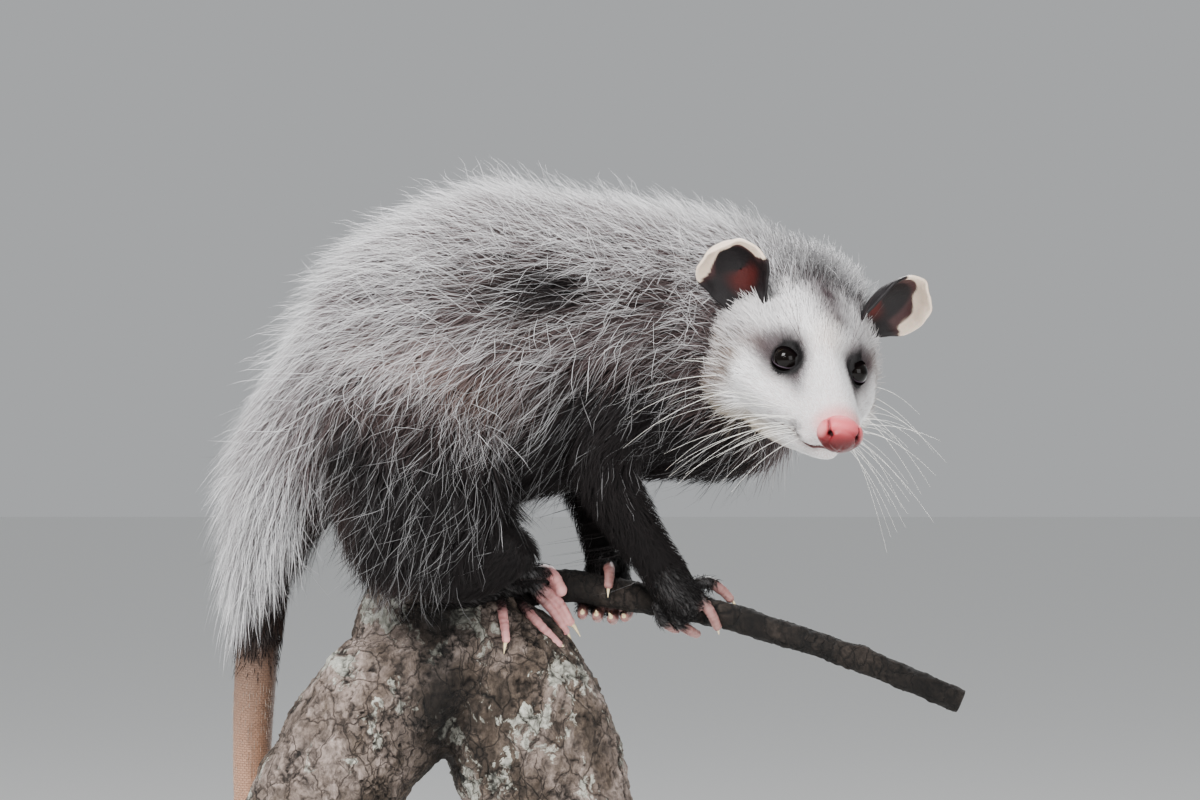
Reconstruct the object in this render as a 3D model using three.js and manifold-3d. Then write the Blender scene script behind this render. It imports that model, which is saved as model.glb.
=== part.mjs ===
// A life-size Virginia opossum that stands on a cut forked limb and grips its side branch,
// on a plain display stand.
//
// Millimetres, +Z up. The origin is the middle of the base's underside. The body runs along X
// with its head towards +X, and its right side faces -Y. The head turns to its right.
// Flesh is made of tubes through a few named stations. The long coat is a core, half way out
// to the tips of the coat, with flat tapered locks that grow from it and lie along it.
// Neighbours keep a gap of GAP between their faces.

import * as THREE from "three";
import { mergeVertices } from "three/addons/utils/BufferGeometryUtils.js";
import Module from "manifold-3d";

const wasm = await Module();
wasm.setup();

// Driving dimensions
const GAP = 0.3; // between parts that touch
const BASE_LENGTH = 300;
const BASE_DEPTH = 170;
const BASE_HEIGHT = 14;
const BASE_CORNER = 18;
const ROD_RADIUS = 5;
const LIMB_FOOT_Z = 160; // where the limb's two legs are cut level, and the rods end
const EYE_RADIUS = 5.9;
const CORE_SHARE = 0.5; // of the coat's depth that the core takes away from the outline

const HEAD_AT = [133.5, -60, 344]; // midway between the eyes
const HEAD_YAW = -76; // degrees about Z, from +X
const HEAD_PITCH = 22; // degrees, nose down
const HEAD_ROLL = -11; // degrees, left ear down

// A station is [x, y, z, half side to side, half rise, coat's depth, half drop, pinch of the upper half].
// The last three may be left out. Parts of a left side are mirrored for the right.
const TRUNK = [
  [-101, 3, 244, 15, 14, 6],
  [-97, 2, 271, 33, 28, 16],
  [-84, 0, 304, 48, 42, 20],
  [-58, 0, 325, 57, 54, 18],
  [-30, 0, 342, 61, 67, 16],
  [4, 0, 351, 61, 73, 15],
  [38, 0, 354, 57, 66, 14],
  [67, 0, 354, 52, 61, 13, 65],
  [90, -3, 356, 46, 57, 13, 68],
  [106, -11, 360, 38, 49, 12, 60],
  [115, -22, 360, 29, 36, 9, 45],
  [120, -34, 357, 18, 20, 6, 30],
];
const HAUNCH = [
  [-42, 30, 356, 14, 24, 8],
  [-41, 38, 334, 22, 38, 11],
  [-37, 43, 310, 26, 45, 13],
  [-32, 44, 288, 26, 46, 13],
  [-27, 41, 268, 22, 42, 12],
  [-25, 37, 258, 15, 33, 9],
];
const SHANK = [
  [4, 39, 272, 12, 16],
  [-4, 37, 264, 12, 14],
  [-13, 34, 257, 10, 11],
  [-20, 31, 253, 8, 8],
];
const RIGHT_ARM = [
  [58, -26, 340, 18, 25, 8],
  [49, -33, 318, 17, 21, 8],
  [45, -33, 300, 14, 17, 7],
  [54, -28, 280, 11.5, 13, 4],
  [66, -20, 262, 9, 10, 2],
  [70, -17, 256, 8, 9, 1],
];
const LEFT_ARM = [
  [54, 26, 338, 18, 25, 8],
  [44, 33, 316, 17, 20, 8],
  [38, 32, 297, 14, 15, 6],
  [41, 25, 279, 10, 11, 4],
  [44, 16, 264, 8, 8.5, 2],
  [45, 12, 259, 7, 8, 1],
];
const TAIL = [
  [-98, 2, 262, 8.6, 8.6],
  [-101, 4, 243, 9.2, 9.2],
  [-102.5, 8, 222, 9, 9],
  [-104.5, 14, 187, 8.3, 8.3],
  [-104.5, 18, 150, 7.5, 7.5],
  [-101, 21, 110, 6.6, 6.6],
  [-91, 24, 72, 5.7, 5.7],
  [-69, 26, 41, 4.9, 4.9],
  [-40, 25, 29, 4.2, 4.2],
  [-14, 21, 34, 3.5, 3.5],
  [3, 17, 50, 2.8, 2.8],
  [6, 14, 66, 2, 2],
];
const TAIL_CUTS = [0.17, 0.55]; // shares of the tail's length

// The head's own frame has +X out of the nose, +Y to the animal's left, +Z up, and its origin
// between the eyes.
const SKULL = [
  [-76, 0, -1, 28, 25, 0, 24, 0],
  [-64, 0, -3, 35, 31, 0, 27, 0],
  [-50, 0, -6, 38.5, 35, 0, 29, 0.05],
  [-37, 0, -9, 39, 36.5, 0, 29, 0.12],
  [-24, 0, -12, 37.5, 35.5, 0, 27, 0.18],
  [-12, 0, -14, 33.5, 32.4, 0, 22, 0.3],
  [-2, 0, -15, 28.5, 28.5, 0, 17.5, 0.48],
  [8, 0, -15, 23, 24.5, 0, 15, 0.62],
  [19, 0, -15, 17.8, 20.5, 0, 12.5, 0.45],
  [30, 0, -14.5, 14, 15.8, 0, 10.5, 0.2],
  [38, 0, -14, 11.2, 11.6, 0, 8.5, 0],
  [43, 0, -13.6, 8.6, 8.4, 0, 6.8, 0],
];
const JAW = [
  [-30, 0, -31, 22, 9],
  [-16, 0, -32.4, 19.5, 8],
  [-3, 0, -32, 15.5, 7],
  [10, 0, -30, 11.5, 6],
  [21, 0, -28, 9, 5],
  [30, 0, -26, 7, 4.2],
  [36, 0, -24.6, 5, 3.2],
];
const LIP_SPAN = [0.68, 0.985]; // shares of the skull's length
const LIP_ANGLE = 0.6; // radians up from straight down
const LIP_RADIUS = 1.3;
const NOSE = [
  [39, 0, -13.4, 7.4, 6.6],
  [43.5, 0, -13, 9, 7.8],
  [46.8, 0, -13, 8.5, 7.4],
  [49.2, 0, -13.4, 5.8, 5.2],
];
const NOSTRIL = [
  [44.5, 8.6, -8.6, 0.9, 1.1],
  [46.6, 6.4, -10, 1.2, 1.5],
  [48.6, 4.4, -12.6, 1.2, 1.4],
];
const EYE_AT = [-1.7, 14.7, -1.1];
const EYE_FACES = [0.68, 0.65, 0.34];
const LID_RING = 4.9;
const LID_THICKNESS = 1.2;
const LID_SQUASH = 0.86; // of the opening's height to its length
const LID_AHEAD = 3.2; // of the eye's middle
const EAR_AT = [-35, 35, 19];
const EAR_TO_TIP = [-0.05, 0.5, 0.86];
const EAR_FACES = [0.86, 0.42, -0.28];
const EAR_HALF_HEIGHT = 18;
const EAR_HALF_WIDTH = 15.5;
const EAR_CUP = 9;
const EAR_FOLD = 5;
const EAR_FOLD_AT = 1.1; // radians round from the outer edge to the top
const EAR_NARROW = 0.22; // of the lower half
const EAR_THICKNESS = 1.4;

// The perch
const LIMB_RIGHT_LEG = [
  [26, -3, 144, 30, 33],
  [21, -2, 162, 31, 34],
  [14, 0, 184, 31, 36],
  [5, 1, 204, 31, 35],
  [-7, 3, 220, 31, 32],
  [-26, 7, 232, 30, 29],
  [-48, 13, 240, 27, 26],
];
const LIMB_LEFT_LEG = [
  [-86, -18, 144, 26, 26],
  [-78, -17, 160, 27, 27],
  [-68, -14, 174, 28.5, 28.5],
  [-54, -9, 194, 31, 31],
  [-38, -3, 208, 32, 32],
  [-20, 2, 218, 31, 31],
];
const BRANCH = [
  [-8, 9, 243, 7.6, 7.6],
  [14, 7, 250, 7.2, 7.2],
  [28, 4, 251.6, 6.8, 6.8],
  [46, 1, 249, 6.6, 6.6],
  [74, -3, 243.4, 6, 6],
  [101, -6, 237.4, 5.7, 5.7],
  [147, -9, 222.4, 5.4, 5.4],
  [193, -12, 203.6, 5.2, 5.2],
];

const RODS = {
  stand_rod_left: [-82, -17],
  stand_rod_right: [26, -2],
};

// The sole of a hind foot as [x, z, half width, half thickness], from the heel
const SOLE = [
  [-24, 251, 7, 6],
  [-14, 250, 7.5, 6],
  [-3, 250.5, 8, 5.6],
  [7, 251.5, 7, 4.6],
];

// Toes of a hind foot as [x, z] of their joints, then of the claw's tip, from the outer toe to the big toe
const TOE_RADIUS = 2.6;
const BIG_TOE_RADIUS = 3.1;
const TOE_CLEAR = 0.5; // from the bark
const TOES = [
  [[-1, 250], [0.5, 245], [1.8, 238], [2.9, 230], [2.2, 225.5]],
  [[3, 251], [9, 244], [17, 235.6], [24.6, 227.6], [28, 224.4]],
  [[7, 253], [13, 250], [21.6, 241.8], [27.4, 232.4], [29.6, 228.6]],
  [[9, 255], [15, 253], [24, 246], [29.6, 236.4], [32.8, 231.6]],
  [[9, 257], [15, 257.4], [21.5, 256.6], [25.6, 250]],
];

// Fingers of the right hand over the branch, joint by joint, with the claw's tip last
const FINGER_RADIUS = 2.7;
const RIGHT_FINGERS = [
  [[79, -11, 252], [87, -7, 253.4], [93, -5, 250], [96.4, -4, 246.4], [98.6, -4, 243.6]],
  [[78, -14, 249], [84, -13.5, 246.6], [88.4, -14, 240.6], [91, -12, 235], [91.6, -9.4, 232.4]],
  [[71, -14, 243], [75, -12, 236.6], [79.4, -8.4, 233.2], [82.4, -4, 231.6], [83.4, -1.4, 232]],
  [[66, -13, 244], [68.6, -11, 237.6], [72, -7, 234.6], [74, -2.6, 233.6], [75, 0, 234.2]],
  [[74, -7, 253], [78, 1, 252.4], [80.6, 6.6, 247], [82, 7.4, 241], [82.4, 5.4, 237.6]],
];
const LEFT_FINGERS = [
  [[44, 9, 261], [45.4, 2, 260], [46, -5, 257.4], [45.6, -9, 252.4], [45.4, -9.4, 248.6]],
  [[52, 9, 252], [54, 11, 245], [53.6, 6, 239.6], [52.4, -0.6, 238.4], [51.6, -4, 239.4]],
  [[47, 9, 250], [48, 11, 242.6], [47.6, 5, 237.6], [46.8, -2.4, 237.8], [46, -6.4, 239.8]],
  [[41, 9, 250], [41.4, 10.4, 242.6], [41, 4.4, 238.4], [40.6, -3, 239], [40.4, -7, 241]],
  [[38, 9, 251], [35.4, 10, 244.6], [34.6, 5, 239.8], [34.6, -1.4, 239.8], [34.6, -5, 241.4]],
];

const RIGHT_PALM = [
  [68, -18, 259, 9, 8.6],
  [72, -15, 252, 10, 8.6],
  [76, -12.6, 247, 9.6, 8],
  [80, -11, 243, 7, 6.6],
];
const LEFT_PALM = [
  [45, 14, 263, 7.5, 8],
  [45, 13, 256, 8, 9],
  [45, 12, 249, 7, 10],
  [44.6, 11, 243, 5, 9],
];

// Where the trunk and the arms are parted
const LOIN_FROM = -62;
const CHEST_FROM = 20;
const ELBOW = 0.48; // share of the arm's length
const NECK_FROM = [84, -3, 355];
const NECK_NORMAL = [1, -0.25, 0.12];
const LOCK_CLEAR = 2; // of the trunk's locks from the limbs

// Rows of locks, each with its place as a share of the tube's length, how many go round, and their sizes
const DROOP = 0.3; // radians that a lock on the flank turns down
const TRUNK_ROWS = [
  { t: 0.04, count: 6, length: 40, width: 19, depth: 3 },
  { t: 0.14, count: 7, length: 42, width: 30, depth: 3.4 },
  { t: 0.26, count: 8, length: 46, width: 38, depth: 3.6 },
  { t: 0.385, count: 9, length: 47, width: 40, depth: 3.8 },
  { t: 0.51, count: 9, length: 46, width: 41, depth: 3.8 },
  { t: 0.635, count: 9, length: 46, width: 40, depth: 3.6 },
  { t: 0.76, count: 8, length: 44, width: 40, depth: 3.6 },
  { t: 0.875, count: 7, length: 38, width: 38, depth: 3.4, from: 20, to: 290 },
];
const HAUNCH_ROWS = [
  { t: 0.14, count: 2, length: 36, width: 29, depth: 3.4, from: -75, to: 75 },
  { t: 0.44, count: 3, length: 36, width: 30, depth: 3.4, from: -85, to: 85 },
  { t: 0.72, count: 3, length: 30, width: 29, depth: 3.4, from: -85, to: 85 },
];
const ARM_ROWS = [
  { t: 0.3, count: 4, length: 24, width: 18, depth: 2.8 },
];
const TAIL_ROWS = [
  { t: 0.055, count: 4, length: 26, width: 12, depth: 2.6 },
];

// The same draws each run, from 0 to 1
function drawsFrom(seed) {
  let state = seed;
  return () => {
    state = (state * 1664525 + 1013904223) % 4294967296;
    return state / 4294967296;
  };
}

const mix = (a, b, share) => a + (b - a) * share;

const vector = (place) => new THREE.Vector3(...place);

// A closed solid from points and the triangles between them
function solidFrom(points, triangles) {
  const vertProperties = new Float32Array(points.flatMap((p) => [p.x, p.y, p.z]));
  const triVerts = new Uint32Array(triangles.flat());
  const mesh = new wasm.Mesh({ numProp: 3, vertProperties, triVerts });
  return new wasm.Manifold(mesh);
}

// A three.js geometry as a solid
function solidOf(geometry) {
  const bare = geometry.clone();
  bare.deleteAttribute("normal");
  bare.deleteAttribute("uv");
  const merged = mergeVertices(bare, 1e-4);
  const vertProperties = new Float32Array(merged.getAttribute("position").array);
  const triVerts = new Uint32Array(merged.index.array);
  const mesh = new wasm.Mesh({ numProp: 3, vertProperties, triVerts });
  return new wasm.Manifold(mesh);
}

const placed = (solid, matrix) => solid.transform(matrix.elements);

const joined = (solids) => wasm.Manifold.union(solids);

const less = (solid, ...others) => solid.subtract(joined(others));

const MIRROR = new THREE.Matrix4().makeScale(1, -1, 1);

// The largest closed surface of a solid, without loose scraps and sealed hollows
function largest(solid) {
  const pieces = solid.decompose();
  return pieces.reduce((a, b) => (b.volume() > a.volume() ? b : a));
}

// Rings of points, closed by a point at each end
function skinRings(rings, first, last) {
  const sides = rings[0].length;
  const points = [...rings.flat(), first, last];
  const start = points.length - 2;
  const end = points.length - 1;
  const triangles = [];
  for (let j = 0; j < sides; j++) {
    const k = (j + 1) % sides;
    triangles.push([start, k, j]);
    for (let i = 0; i + 1 < rings.length; i++) {
      const a = i * sides;
      const b = a + sides;
      triangles.push([a + j, a + k, b + k], [a + j, b + k, b + j]);
    }
    const a = (rings.length - 1) * sides;
    triangles.push([end, a + j, a + k]);
  }
  return solidFrom(points, triangles);
}

// A smooth curve through stations, for each of their numbers
function through(stations, t) {
  const spans = stations.length - 1;
  const i = Math.min(spans - 1, Math.floor(t * spans));
  const share = t * spans - i;
  const [a, b, c, d] = [i - 1, i, i + 1, i + 2].map((k) => stations[Math.min(spans, Math.max(0, k))]);
  return b.map((_, n) => {
    const into = (c[n] - a[n]) / 2;
    const out = (d[n] - b[n]) / 2;
    const over = b[n] - c[n];
    return b[n] + share * (into + share * (-3 * over - 2 * into - out + share * (2 * over + into + out)));
  });
}

const STEPS = 240; // for measuring a curve's length

// A tube through stations. Angle 0 is on its side axis, and a quarter turn on is its rise axis.
class Tube {
  constructor(stations, { rings, sides, ends = [0.5, 0.5], side = [0, 1, 0], rough = 0, seed = 1 }) {
    this.rings = rings;
    this.sides = sides;
    this.ends = ends;
    const whole = stations.map(([x, y, z, half, rise, coat = 0, drop = rise, pinch = 0]) => {
      const inset = coat * CORE_SHARE;
      return [x, y, z, half - inset, rise - inset, drop - inset, pinch, coat - inset];
    });
    const samples = Array.from({ length: STEPS + 1 }, (_, i) => through(whole, i / STEPS));
    const lengths = [0];
    for (let i = 1; i <= STEPS; i++) {
      const [here, last] = [samples[i], samples[i - 1]].map((sample) => vector(sample.slice(0, 3)));
      lengths.push(lengths[i - 1] + here.distanceTo(last));
    }
    this.length = lengths[STEPS];
    const lateral = vector(side);
    const draw = drawsFrom(seed);
    this.frames = Array.from({ length: rings + 1 }, (_, i) => {
      const far = (i / rings) * this.length;
      const k = Math.min(STEPS - 1, Math.max(0, lengths.findIndex((l) => l >= far - 1e-9) - 1));
      const share = (far - lengths[k]) / (lengths[k + 1] - lengths[k]);
      const [low, high] = [samples[k], samples[k + 1]];
      const [x, y, z, half, rise, drop, pinch, coat] = low.map((n, m) => mix(n, high[m], share));
      const along = vector(high.slice(0, 3)).sub(vector(low.slice(0, 3))).normalize();
      lateral.addScaledVector(along, -lateral.dot(along)).normalize();
      return {
        centre: new THREE.Vector3(x, y, z),
        along,
        lateral: lateral.clone(),
        up: along.clone().cross(lateral),
        sizes: [half, rise, drop, pinch, coat],
        bumps: Array.from({ length: sides }, () => 1 + rough * (2 * draw() - 1)),
      };
    });
  }

  // The frame at a share t of the length. Past either end it goes on straight.
  frame(t) {
    const held = Math.min(1, Math.max(0, t));
    const i = Math.min(this.rings - 1, Math.floor(held * this.rings));
    const share = held * this.rings - i;
    const [a, b] = [this.frames[i], this.frames[i + 1]];
    const between = (key) => a[key].clone().lerp(b[key], share);
    const along = between("along").normalize();
    return {
      centre: between("centre").addScaledVector(along, (t - held) * this.length),
      along,
      lateral: between("lateral").normalize(),
      up: between("up").normalize(),
      sizes: a.sizes.map((n, m) => mix(n, b.sizes[m], share)),
    };
  }

  // Where a ring's edge is from its centre, to the side and up
  static edge([half, rise, drop, pinch], angle, height) {
    const high = Math.max(0, Math.sin(angle));
    const across = Math.cos(angle) * (half * (1 - pinch * high) + height);
    const up = Math.sin(angle) * ((high ? rise : drop) + height);
    return [across, up];
  }

  // A point on the surface, raised by a height
  at(t, angle, height = 0) {
    const f = this.frame(t);
    const [across, up] = Tube.edge(f.sizes, angle, height);
    return f.centre.addScaledVector(f.lateral, across).addScaledVector(f.up, up);
  }

  outward(t, angle) {
    const f = this.frame(t);
    const [half, rise] = f.sizes;
    const sideways = f.lateral.multiplyScalar(Math.cos(angle) / half);
    return sideways.addScaledVector(f.up, Math.sin(angle) / rise).normalize();
  }

  coatAt(t) {
    return this.frame(t).sizes[4];
  }

  // True for a point inside the surface, moved out by a margin
  holds(point, margin) {
    return this.frames.some((f) => {
      const from = point.clone().sub(f.centre);
      const [half, rise, drop] = f.sizes;
      const up = from.dot(f.up);
      const across = from.dot(f.lateral) / (half + margin);
      const above = up / ((up > 0 ? rise : drop) + margin);
      return Math.abs(from.dot(f.along)) < this.length / this.rings && across * across + above * above < 1;
    });
  }

  ringOf(frame, scale, shift, grow) {
    return Array.from({ length: this.sides }, (_, j) => {
      const [across, up] = Tube.edge(frame.sizes, (2 * Math.PI * j) / this.sides, 0);
      const [more, higher] = Tube.edge(frame.sizes, (2 * Math.PI * j) / this.sides, grow);
      const bump = frame.bumps[j];
      return frame.centre
        .clone()
        .addScaledVector(frame.lateral, scale * (across * bump + more - across))
        .addScaledVector(frame.up, scale * (up * bump + higher - up))
        .addScaledVector(frame.along, shift);
    });
  }

  solid(grow = 0) {
    const [first, last] = [this.frames[0], this.frames[this.rings]];
    const capOf = (f, i) => this.ends[i] * Math.min(f.sizes[0], f.sizes[1]) + grow;
    const [back, front] = [first, last].map(capOf);
    const rings = this.frames.map((f) => this.ringOf(f, 1, 0, grow));
    if (this.ends[0]) rings.unshift(this.ringOf(first, 0.72, -0.7 * back, grow));
    if (this.ends[1]) rings.push(this.ringOf(last, 0.72, 0.7 * front, grow));
    return skinRings(
      rings,
      first.centre.clone().addScaledVector(first.along, -back),
      last.centre.clone().addScaledVector(last.along, front),
    );
  }
}

// A flat tapered lock of the coat, through points with the surface's normal at each, from its root
const LOCK_HEIGHTS = [-3, 0.5, 0.9, 1]; // the root's in mm, then as shares of the coat outside the core
const LOCK_WIDTHS = [0.8, 1, 0.72];
const LOCK_DEPTHS = [1, 0.9, 0.6];
function lockThrough(points, normals, width, depth, grow) {
  const rings = LOCK_WIDTHS.map((share, i) => {
    const along = points[i + 1].clone().sub(points[Math.max(0, i - 1)]);
    const across = normals[i].clone().cross(along).normalize();
    const up = along.cross(across).normalize();
    const high = depth * LOCK_DEPTHS[i];
    const halfWidth = (width / 2) * share * (1 + (2 * grow) / high) + grow;
    const under = points[i].clone().addScaledVector(up, -grow);
    return [
      under.clone().addScaledVector(across, -halfWidth),
      under.clone().addScaledVector(across, halfWidth),
      points[i].clone().addScaledVector(up, high + 2 * grow),
    ];
  });
  const back = points[0].clone().sub(points[1]).setLength(1 + 2 * grow);
  const tip = points[3].clone().sub(points[2]).setLength(grow).add(points[3]);
  return skinRings(rings, points[0].clone().add(back), tip);
}

// Rows of locks round a tube, each row half a step round from the one before. They lie towards one
// end and droop. One is left out where its root or its first bend is barred.
function locksOn(tube, rows, { seed, lie = -1, droop = 0, barred = () => false }) {
  const draw = drawsFrom(seed);
  const locks = [];
  rows.forEach(({ t, count, length, width, depth, from = 0, to = 360 }, row) => {
    for (let i = 0; i < count; i++) {
      const step = (i + 0.5 * (row % 2) + 0.25 + 0.3 * (draw() - 0.5)) / count;
      const angle = THREE.MathUtils.degToRad(mix(from, to, step));
      const reach = length * (0.9 + 0.2 * draw());
      const breadth = width * (0.92 + 0.16 * draw());
      const turn = 0.14 * (draw() - 0.5) - droop * Math.cos(angle);
      const points = [];
      const normals = [];
      LOCK_HEIGHTS.forEach((height, k) => {
        const share = k / (LOCK_HEIGHTS.length - 1);
        const there = t + (lie * share * reach) / tube.length;
        points.push(tube.at(there, angle + turn * share, k ? height * tube.coatAt(there) : height));
        normals.push(tube.outward(there, angle + turn * share));
      });
      if (points.slice(0, 2).some(barred)) continue;
      const solid = (grow = 0) => lockThrough(points, normals, breadth, depth, grow);
      locks.push({ root: points[0], solid });
    }
  });
  return locks;
}

// All of space on one side of a plane, as a large box
const FAR = 1200;
function beyond(point, normal) {
  const away = vector(normal).normalize();
  const turn = new THREE.Quaternion().setFromUnitVectors(new THREE.Vector3(1, 0, 0), away);
  const middle = vector(point).addScaledVector(away, FAR / 2);
  return placed(
    solidOf(new THREE.BoxGeometry(FAR, FAR, FAR)),
    new THREE.Matrix4().compose(middle, turn, new THREE.Vector3(1, 1, 1)),
  );
}

const root = new THREE.Group();

function geometryOf(solid) {
  const made = solid.getMesh();
  const geometry = new THREE.BufferGeometry();
  geometry.setAttribute("position", new THREE.BufferAttribute(made.vertProperties, 3));
  geometry.setIndex(new THREE.BufferAttribute(made.triVerts, 1));
  return geometry;
}

function add(name, solid, look) {
  const mesh = new THREE.Mesh(geometryOf(largest(solid)), look);
  mesh.name = name;
  root.add(mesh);
}

const look = (color, roughness) => new THREE.MeshStandardMaterial({ color, roughness, metalness: 0 });
const looks = {
  coat: look(0x8f8a88, 0.9),
  dark: look(0x2a2423, 0.85),
  face: look(0xe6e0dc, 0.85),
  nose: look(0xd98f88, 0.5),
  ear: look(0x231f20, 0.6),
  eye: look(0x0b0a0c, 0.08),
  tail: look(0xb99c86, 0.7),
  bark: look(0x7a6a5e, 0.9),
  base: look(0x2b2b2d, 0.5),
  rod: look(0x3a3b3d, 0.4),
};

// Perch and stand

const legOptions = { rings: 8, sides: 12, ends: [0.4, 0.4], rough: 0.05 };
const rightLeg = new Tube(LIMB_RIGHT_LEG, { ...legOptions, seed: 3 });
const leftLeg = new Tube(LIMB_LEFT_LEG, { ...legOptions, seed: 5 });
const branch = new Tube(BRANCH, { rings: 13, sides: 8, ends: [0.4, 0.3], rough: 0.05, seed: 7 });
const aboveRods = (grow) => beyond([0, 0, LIMB_FOOT_Z - grow], [0, 0, 1]);
const limbRight = (grow = 0) => rightLeg.solid(grow).intersect(aboveRods(grow));
const limbLeft = (grow = 0) => leftLeg.solid(grow).intersect(aboveRods(grow));
const perch = (grow) => joined([limbRight(grow), limbLeft(grow), branch.solid(grow)]);

function addPerch() {
  add("perch_limb_right", limbRight(), looks.bark);
  add("perch_limb_left", less(limbLeft(), limbRight(GAP)), looks.bark);
  add("perch_branch", less(branch.solid(), limbRight(GAP)), looks.bark);
}

// Where a line along Y at x and z first meets the perch, from the right side (-1) or the left (1)
const perchSkin = new THREE.MeshBasicMaterial({ side: THREE.DoubleSide });
const perchMesh = new THREE.Mesh(geometryOf(perch(0)), perchSkin);
function perchFace(x, z, side, otherwise) {
  const ray = new THREE.Raycaster(new THREE.Vector3(x, side * FAR, z), new THREE.Vector3(0, -side, 0));
  const hits = ray.intersectObject(perchMesh);
  return hits.length ? hits[0].point.y : otherwise;
}

function addStand() {
  const [across, deep] = [BASE_LENGTH / 2 - BASE_CORNER, BASE_DEPTH / 2 - BASE_CORNER];
  const outline = new THREE.Shape();
  outline.absarc(across, -deep, BASE_CORNER, -Math.PI / 2, 0);
  outline.absarc(across, deep, BASE_CORNER, 0, Math.PI / 2);
  outline.absarc(-across, deep, BASE_CORNER, Math.PI / 2, Math.PI);
  outline.absarc(-across, -deep, BASE_CORNER, Math.PI, 1.5 * Math.PI);
  const flat = { depth: BASE_HEIGHT, bevelEnabled: false, curveSegments: 6 };
  const plate = new THREE.ExtrudeGeometry(outline, flat);
  add("stand_base", solidOf(plate), looks.base);
  Object.entries(RODS).forEach(([name, [x, y]]) => {
    const height = LIMB_FOOT_Z - BASE_HEIGHT - 2 * GAP;
    const rod = new THREE.CylinderGeometry(ROD_RADIUS, ROD_RADIUS, height, 20);
    rod.rotateX(Math.PI / 2);
    rod.translate(x, y, BASE_HEIGHT + GAP + height / 2);
    add(name, solidOf(rod), looks.rod);
  });
}

// Head

const headFrame = new THREE.Matrix4().compose(
  vector(HEAD_AT),
  new THREE.Quaternion().setFromEuler(
    new THREE.Euler(...[HEAD_ROLL, HEAD_PITCH, HEAD_YAW].map(THREE.MathUtils.degToRad), "ZYX"),
  ),
  new THREE.Vector3(1, 1, 1),
);
const skull = new Tube(SKULL, { rings: 13, sides: 18, ends: [0.5, 0.3] });
const jaw = new Tube(JAW, { rings: 5, sides: 12, ends: [0.5, 0.7] });
const nose = new Tube(NOSE, { rings: 3, sides: 12, ends: [0.3, 0.3] });
const bothSides = (solid) => [solid, placed(solid, MIRROR)];

// A round cord with a thickness at each station
function cord(stations, sides, rings, grow = 0, ends = [0.8, 0.8]) {
  return new Tube(stations, { rings, sides, ends, side: [0.3, 1, 0.2] }).solid(grow);
}

function eyeBall(grow) {
  const ball = new THREE.SphereGeometry(EYE_RADIUS + grow, 14, 8);
  ball.rotateX(Math.PI / 2);
  ball.translate(...EYE_AT);
  return solidOf(ball);
}

// A ring round the front of the eye, a little flattened, as its two lids
function lids() {
  const faces = vector(EYE_FACES).normalize();
  const ring = new THREE.TorusGeometry(LID_RING, LID_THICKNESS, 5, 14);
  ring.scale(1, LID_SQUASH, 1);
  ring.applyQuaternion(new THREE.Quaternion().setFromUnitVectors(new THREE.Vector3(0, 0, 1), faces));
  ring.translate(...vector(EYE_AT).addScaledVector(faces, LID_AHEAD));
  return solidOf(ring);
}

// The edge of the upper lip, along the skull above the mouth
function lip(grow = 0) {
  const angle = -Math.PI / 2 + LIP_ANGLE;
  const points = Array.from({ length: 6 }, (_, i) => skull.at(mix(...LIP_SPAN, i / 5), angle, -0.3));
  return cord(points.map((p) => [p.x, p.y, p.z, LIP_RADIUS, LIP_RADIUS]), 5, 5, grow);
}

// An ear is a cupped leaf with the upper and outer part of its rim folded forward
const EAR_RADII = [0.4, 0.78, 0.95, 1];
const EAR_SIDES = 15;
function ear(grow = 0) {
  const tip = vector(EAR_TO_TIP).normalize();
  const faces = vector(EAR_FACES);
  faces.addScaledVector(tip, -faces.dot(tip)).normalize();
  const wide = faces.clone().cross(tip).negate();
  const pointAt = (angle, radius) => {
    const fold = Math.max(0, Math.cos(angle - EAR_FOLD_AT)) ** 1.5;
    const rim = Math.max(0, (radius - 0.8) / 0.2);
    const reach = radius * (1 - 0.1 * fold * rim * rim);
    const narrow = 1 - EAR_NARROW * Math.max(0, -Math.sin(angle));
    return vector(EAR_AT)
      .addScaledVector(wide, (EAR_HALF_WIDTH + grow) * reach * narrow * Math.cos(angle))
      .addScaledVector(tip, (EAR_HALF_HEIGHT + grow) * reach * Math.sin(angle))
      .addScaledVector(faces, EAR_CUP * (radius * radius - 1) + EAR_FOLD * fold * rim * rim);
  };
  const shifted = (angle, radius, out) => {
    const outward = pointAt(angle, radius + 0.01).sub(pointAt(angle, radius - 0.01));
    const round = pointAt(angle + 0.02, radius).sub(pointAt(angle - 0.02, radius));
    return pointAt(angle, radius).addScaledVector(outward.cross(round).normalize(), out);
  };
  const ringAt = (radius, out) =>
    Array.from({ length: EAR_SIDES }, (_, j) => shifted((2 * Math.PI * j) / EAR_SIDES, radius, out));
  const half = EAR_THICKNESS / 2 + grow;
  const back = EAR_RADII.map((radius) => ringAt(radius, -half));
  const front = EAR_RADII.map((radius) => ringAt(radius, half)).reverse();
  const middle = pointAt(0, 0);
  const toFront = shifted(0, 0.02, 1).sub(pointAt(0, 0.02));
  return skinRings(
    [...back, ...front],
    middle.clone().addScaledVector(toFront, -half),
    middle.clone().addScaledVector(toFront, half),
  );
}

// Everything of the head, grown, to cut the neck clear of it
function headRoom() {
  return placed(joined([skull.solid(GAP), jaw.solid(GAP), ...bothSides(ear(GAP))]), headFrame);
}

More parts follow.
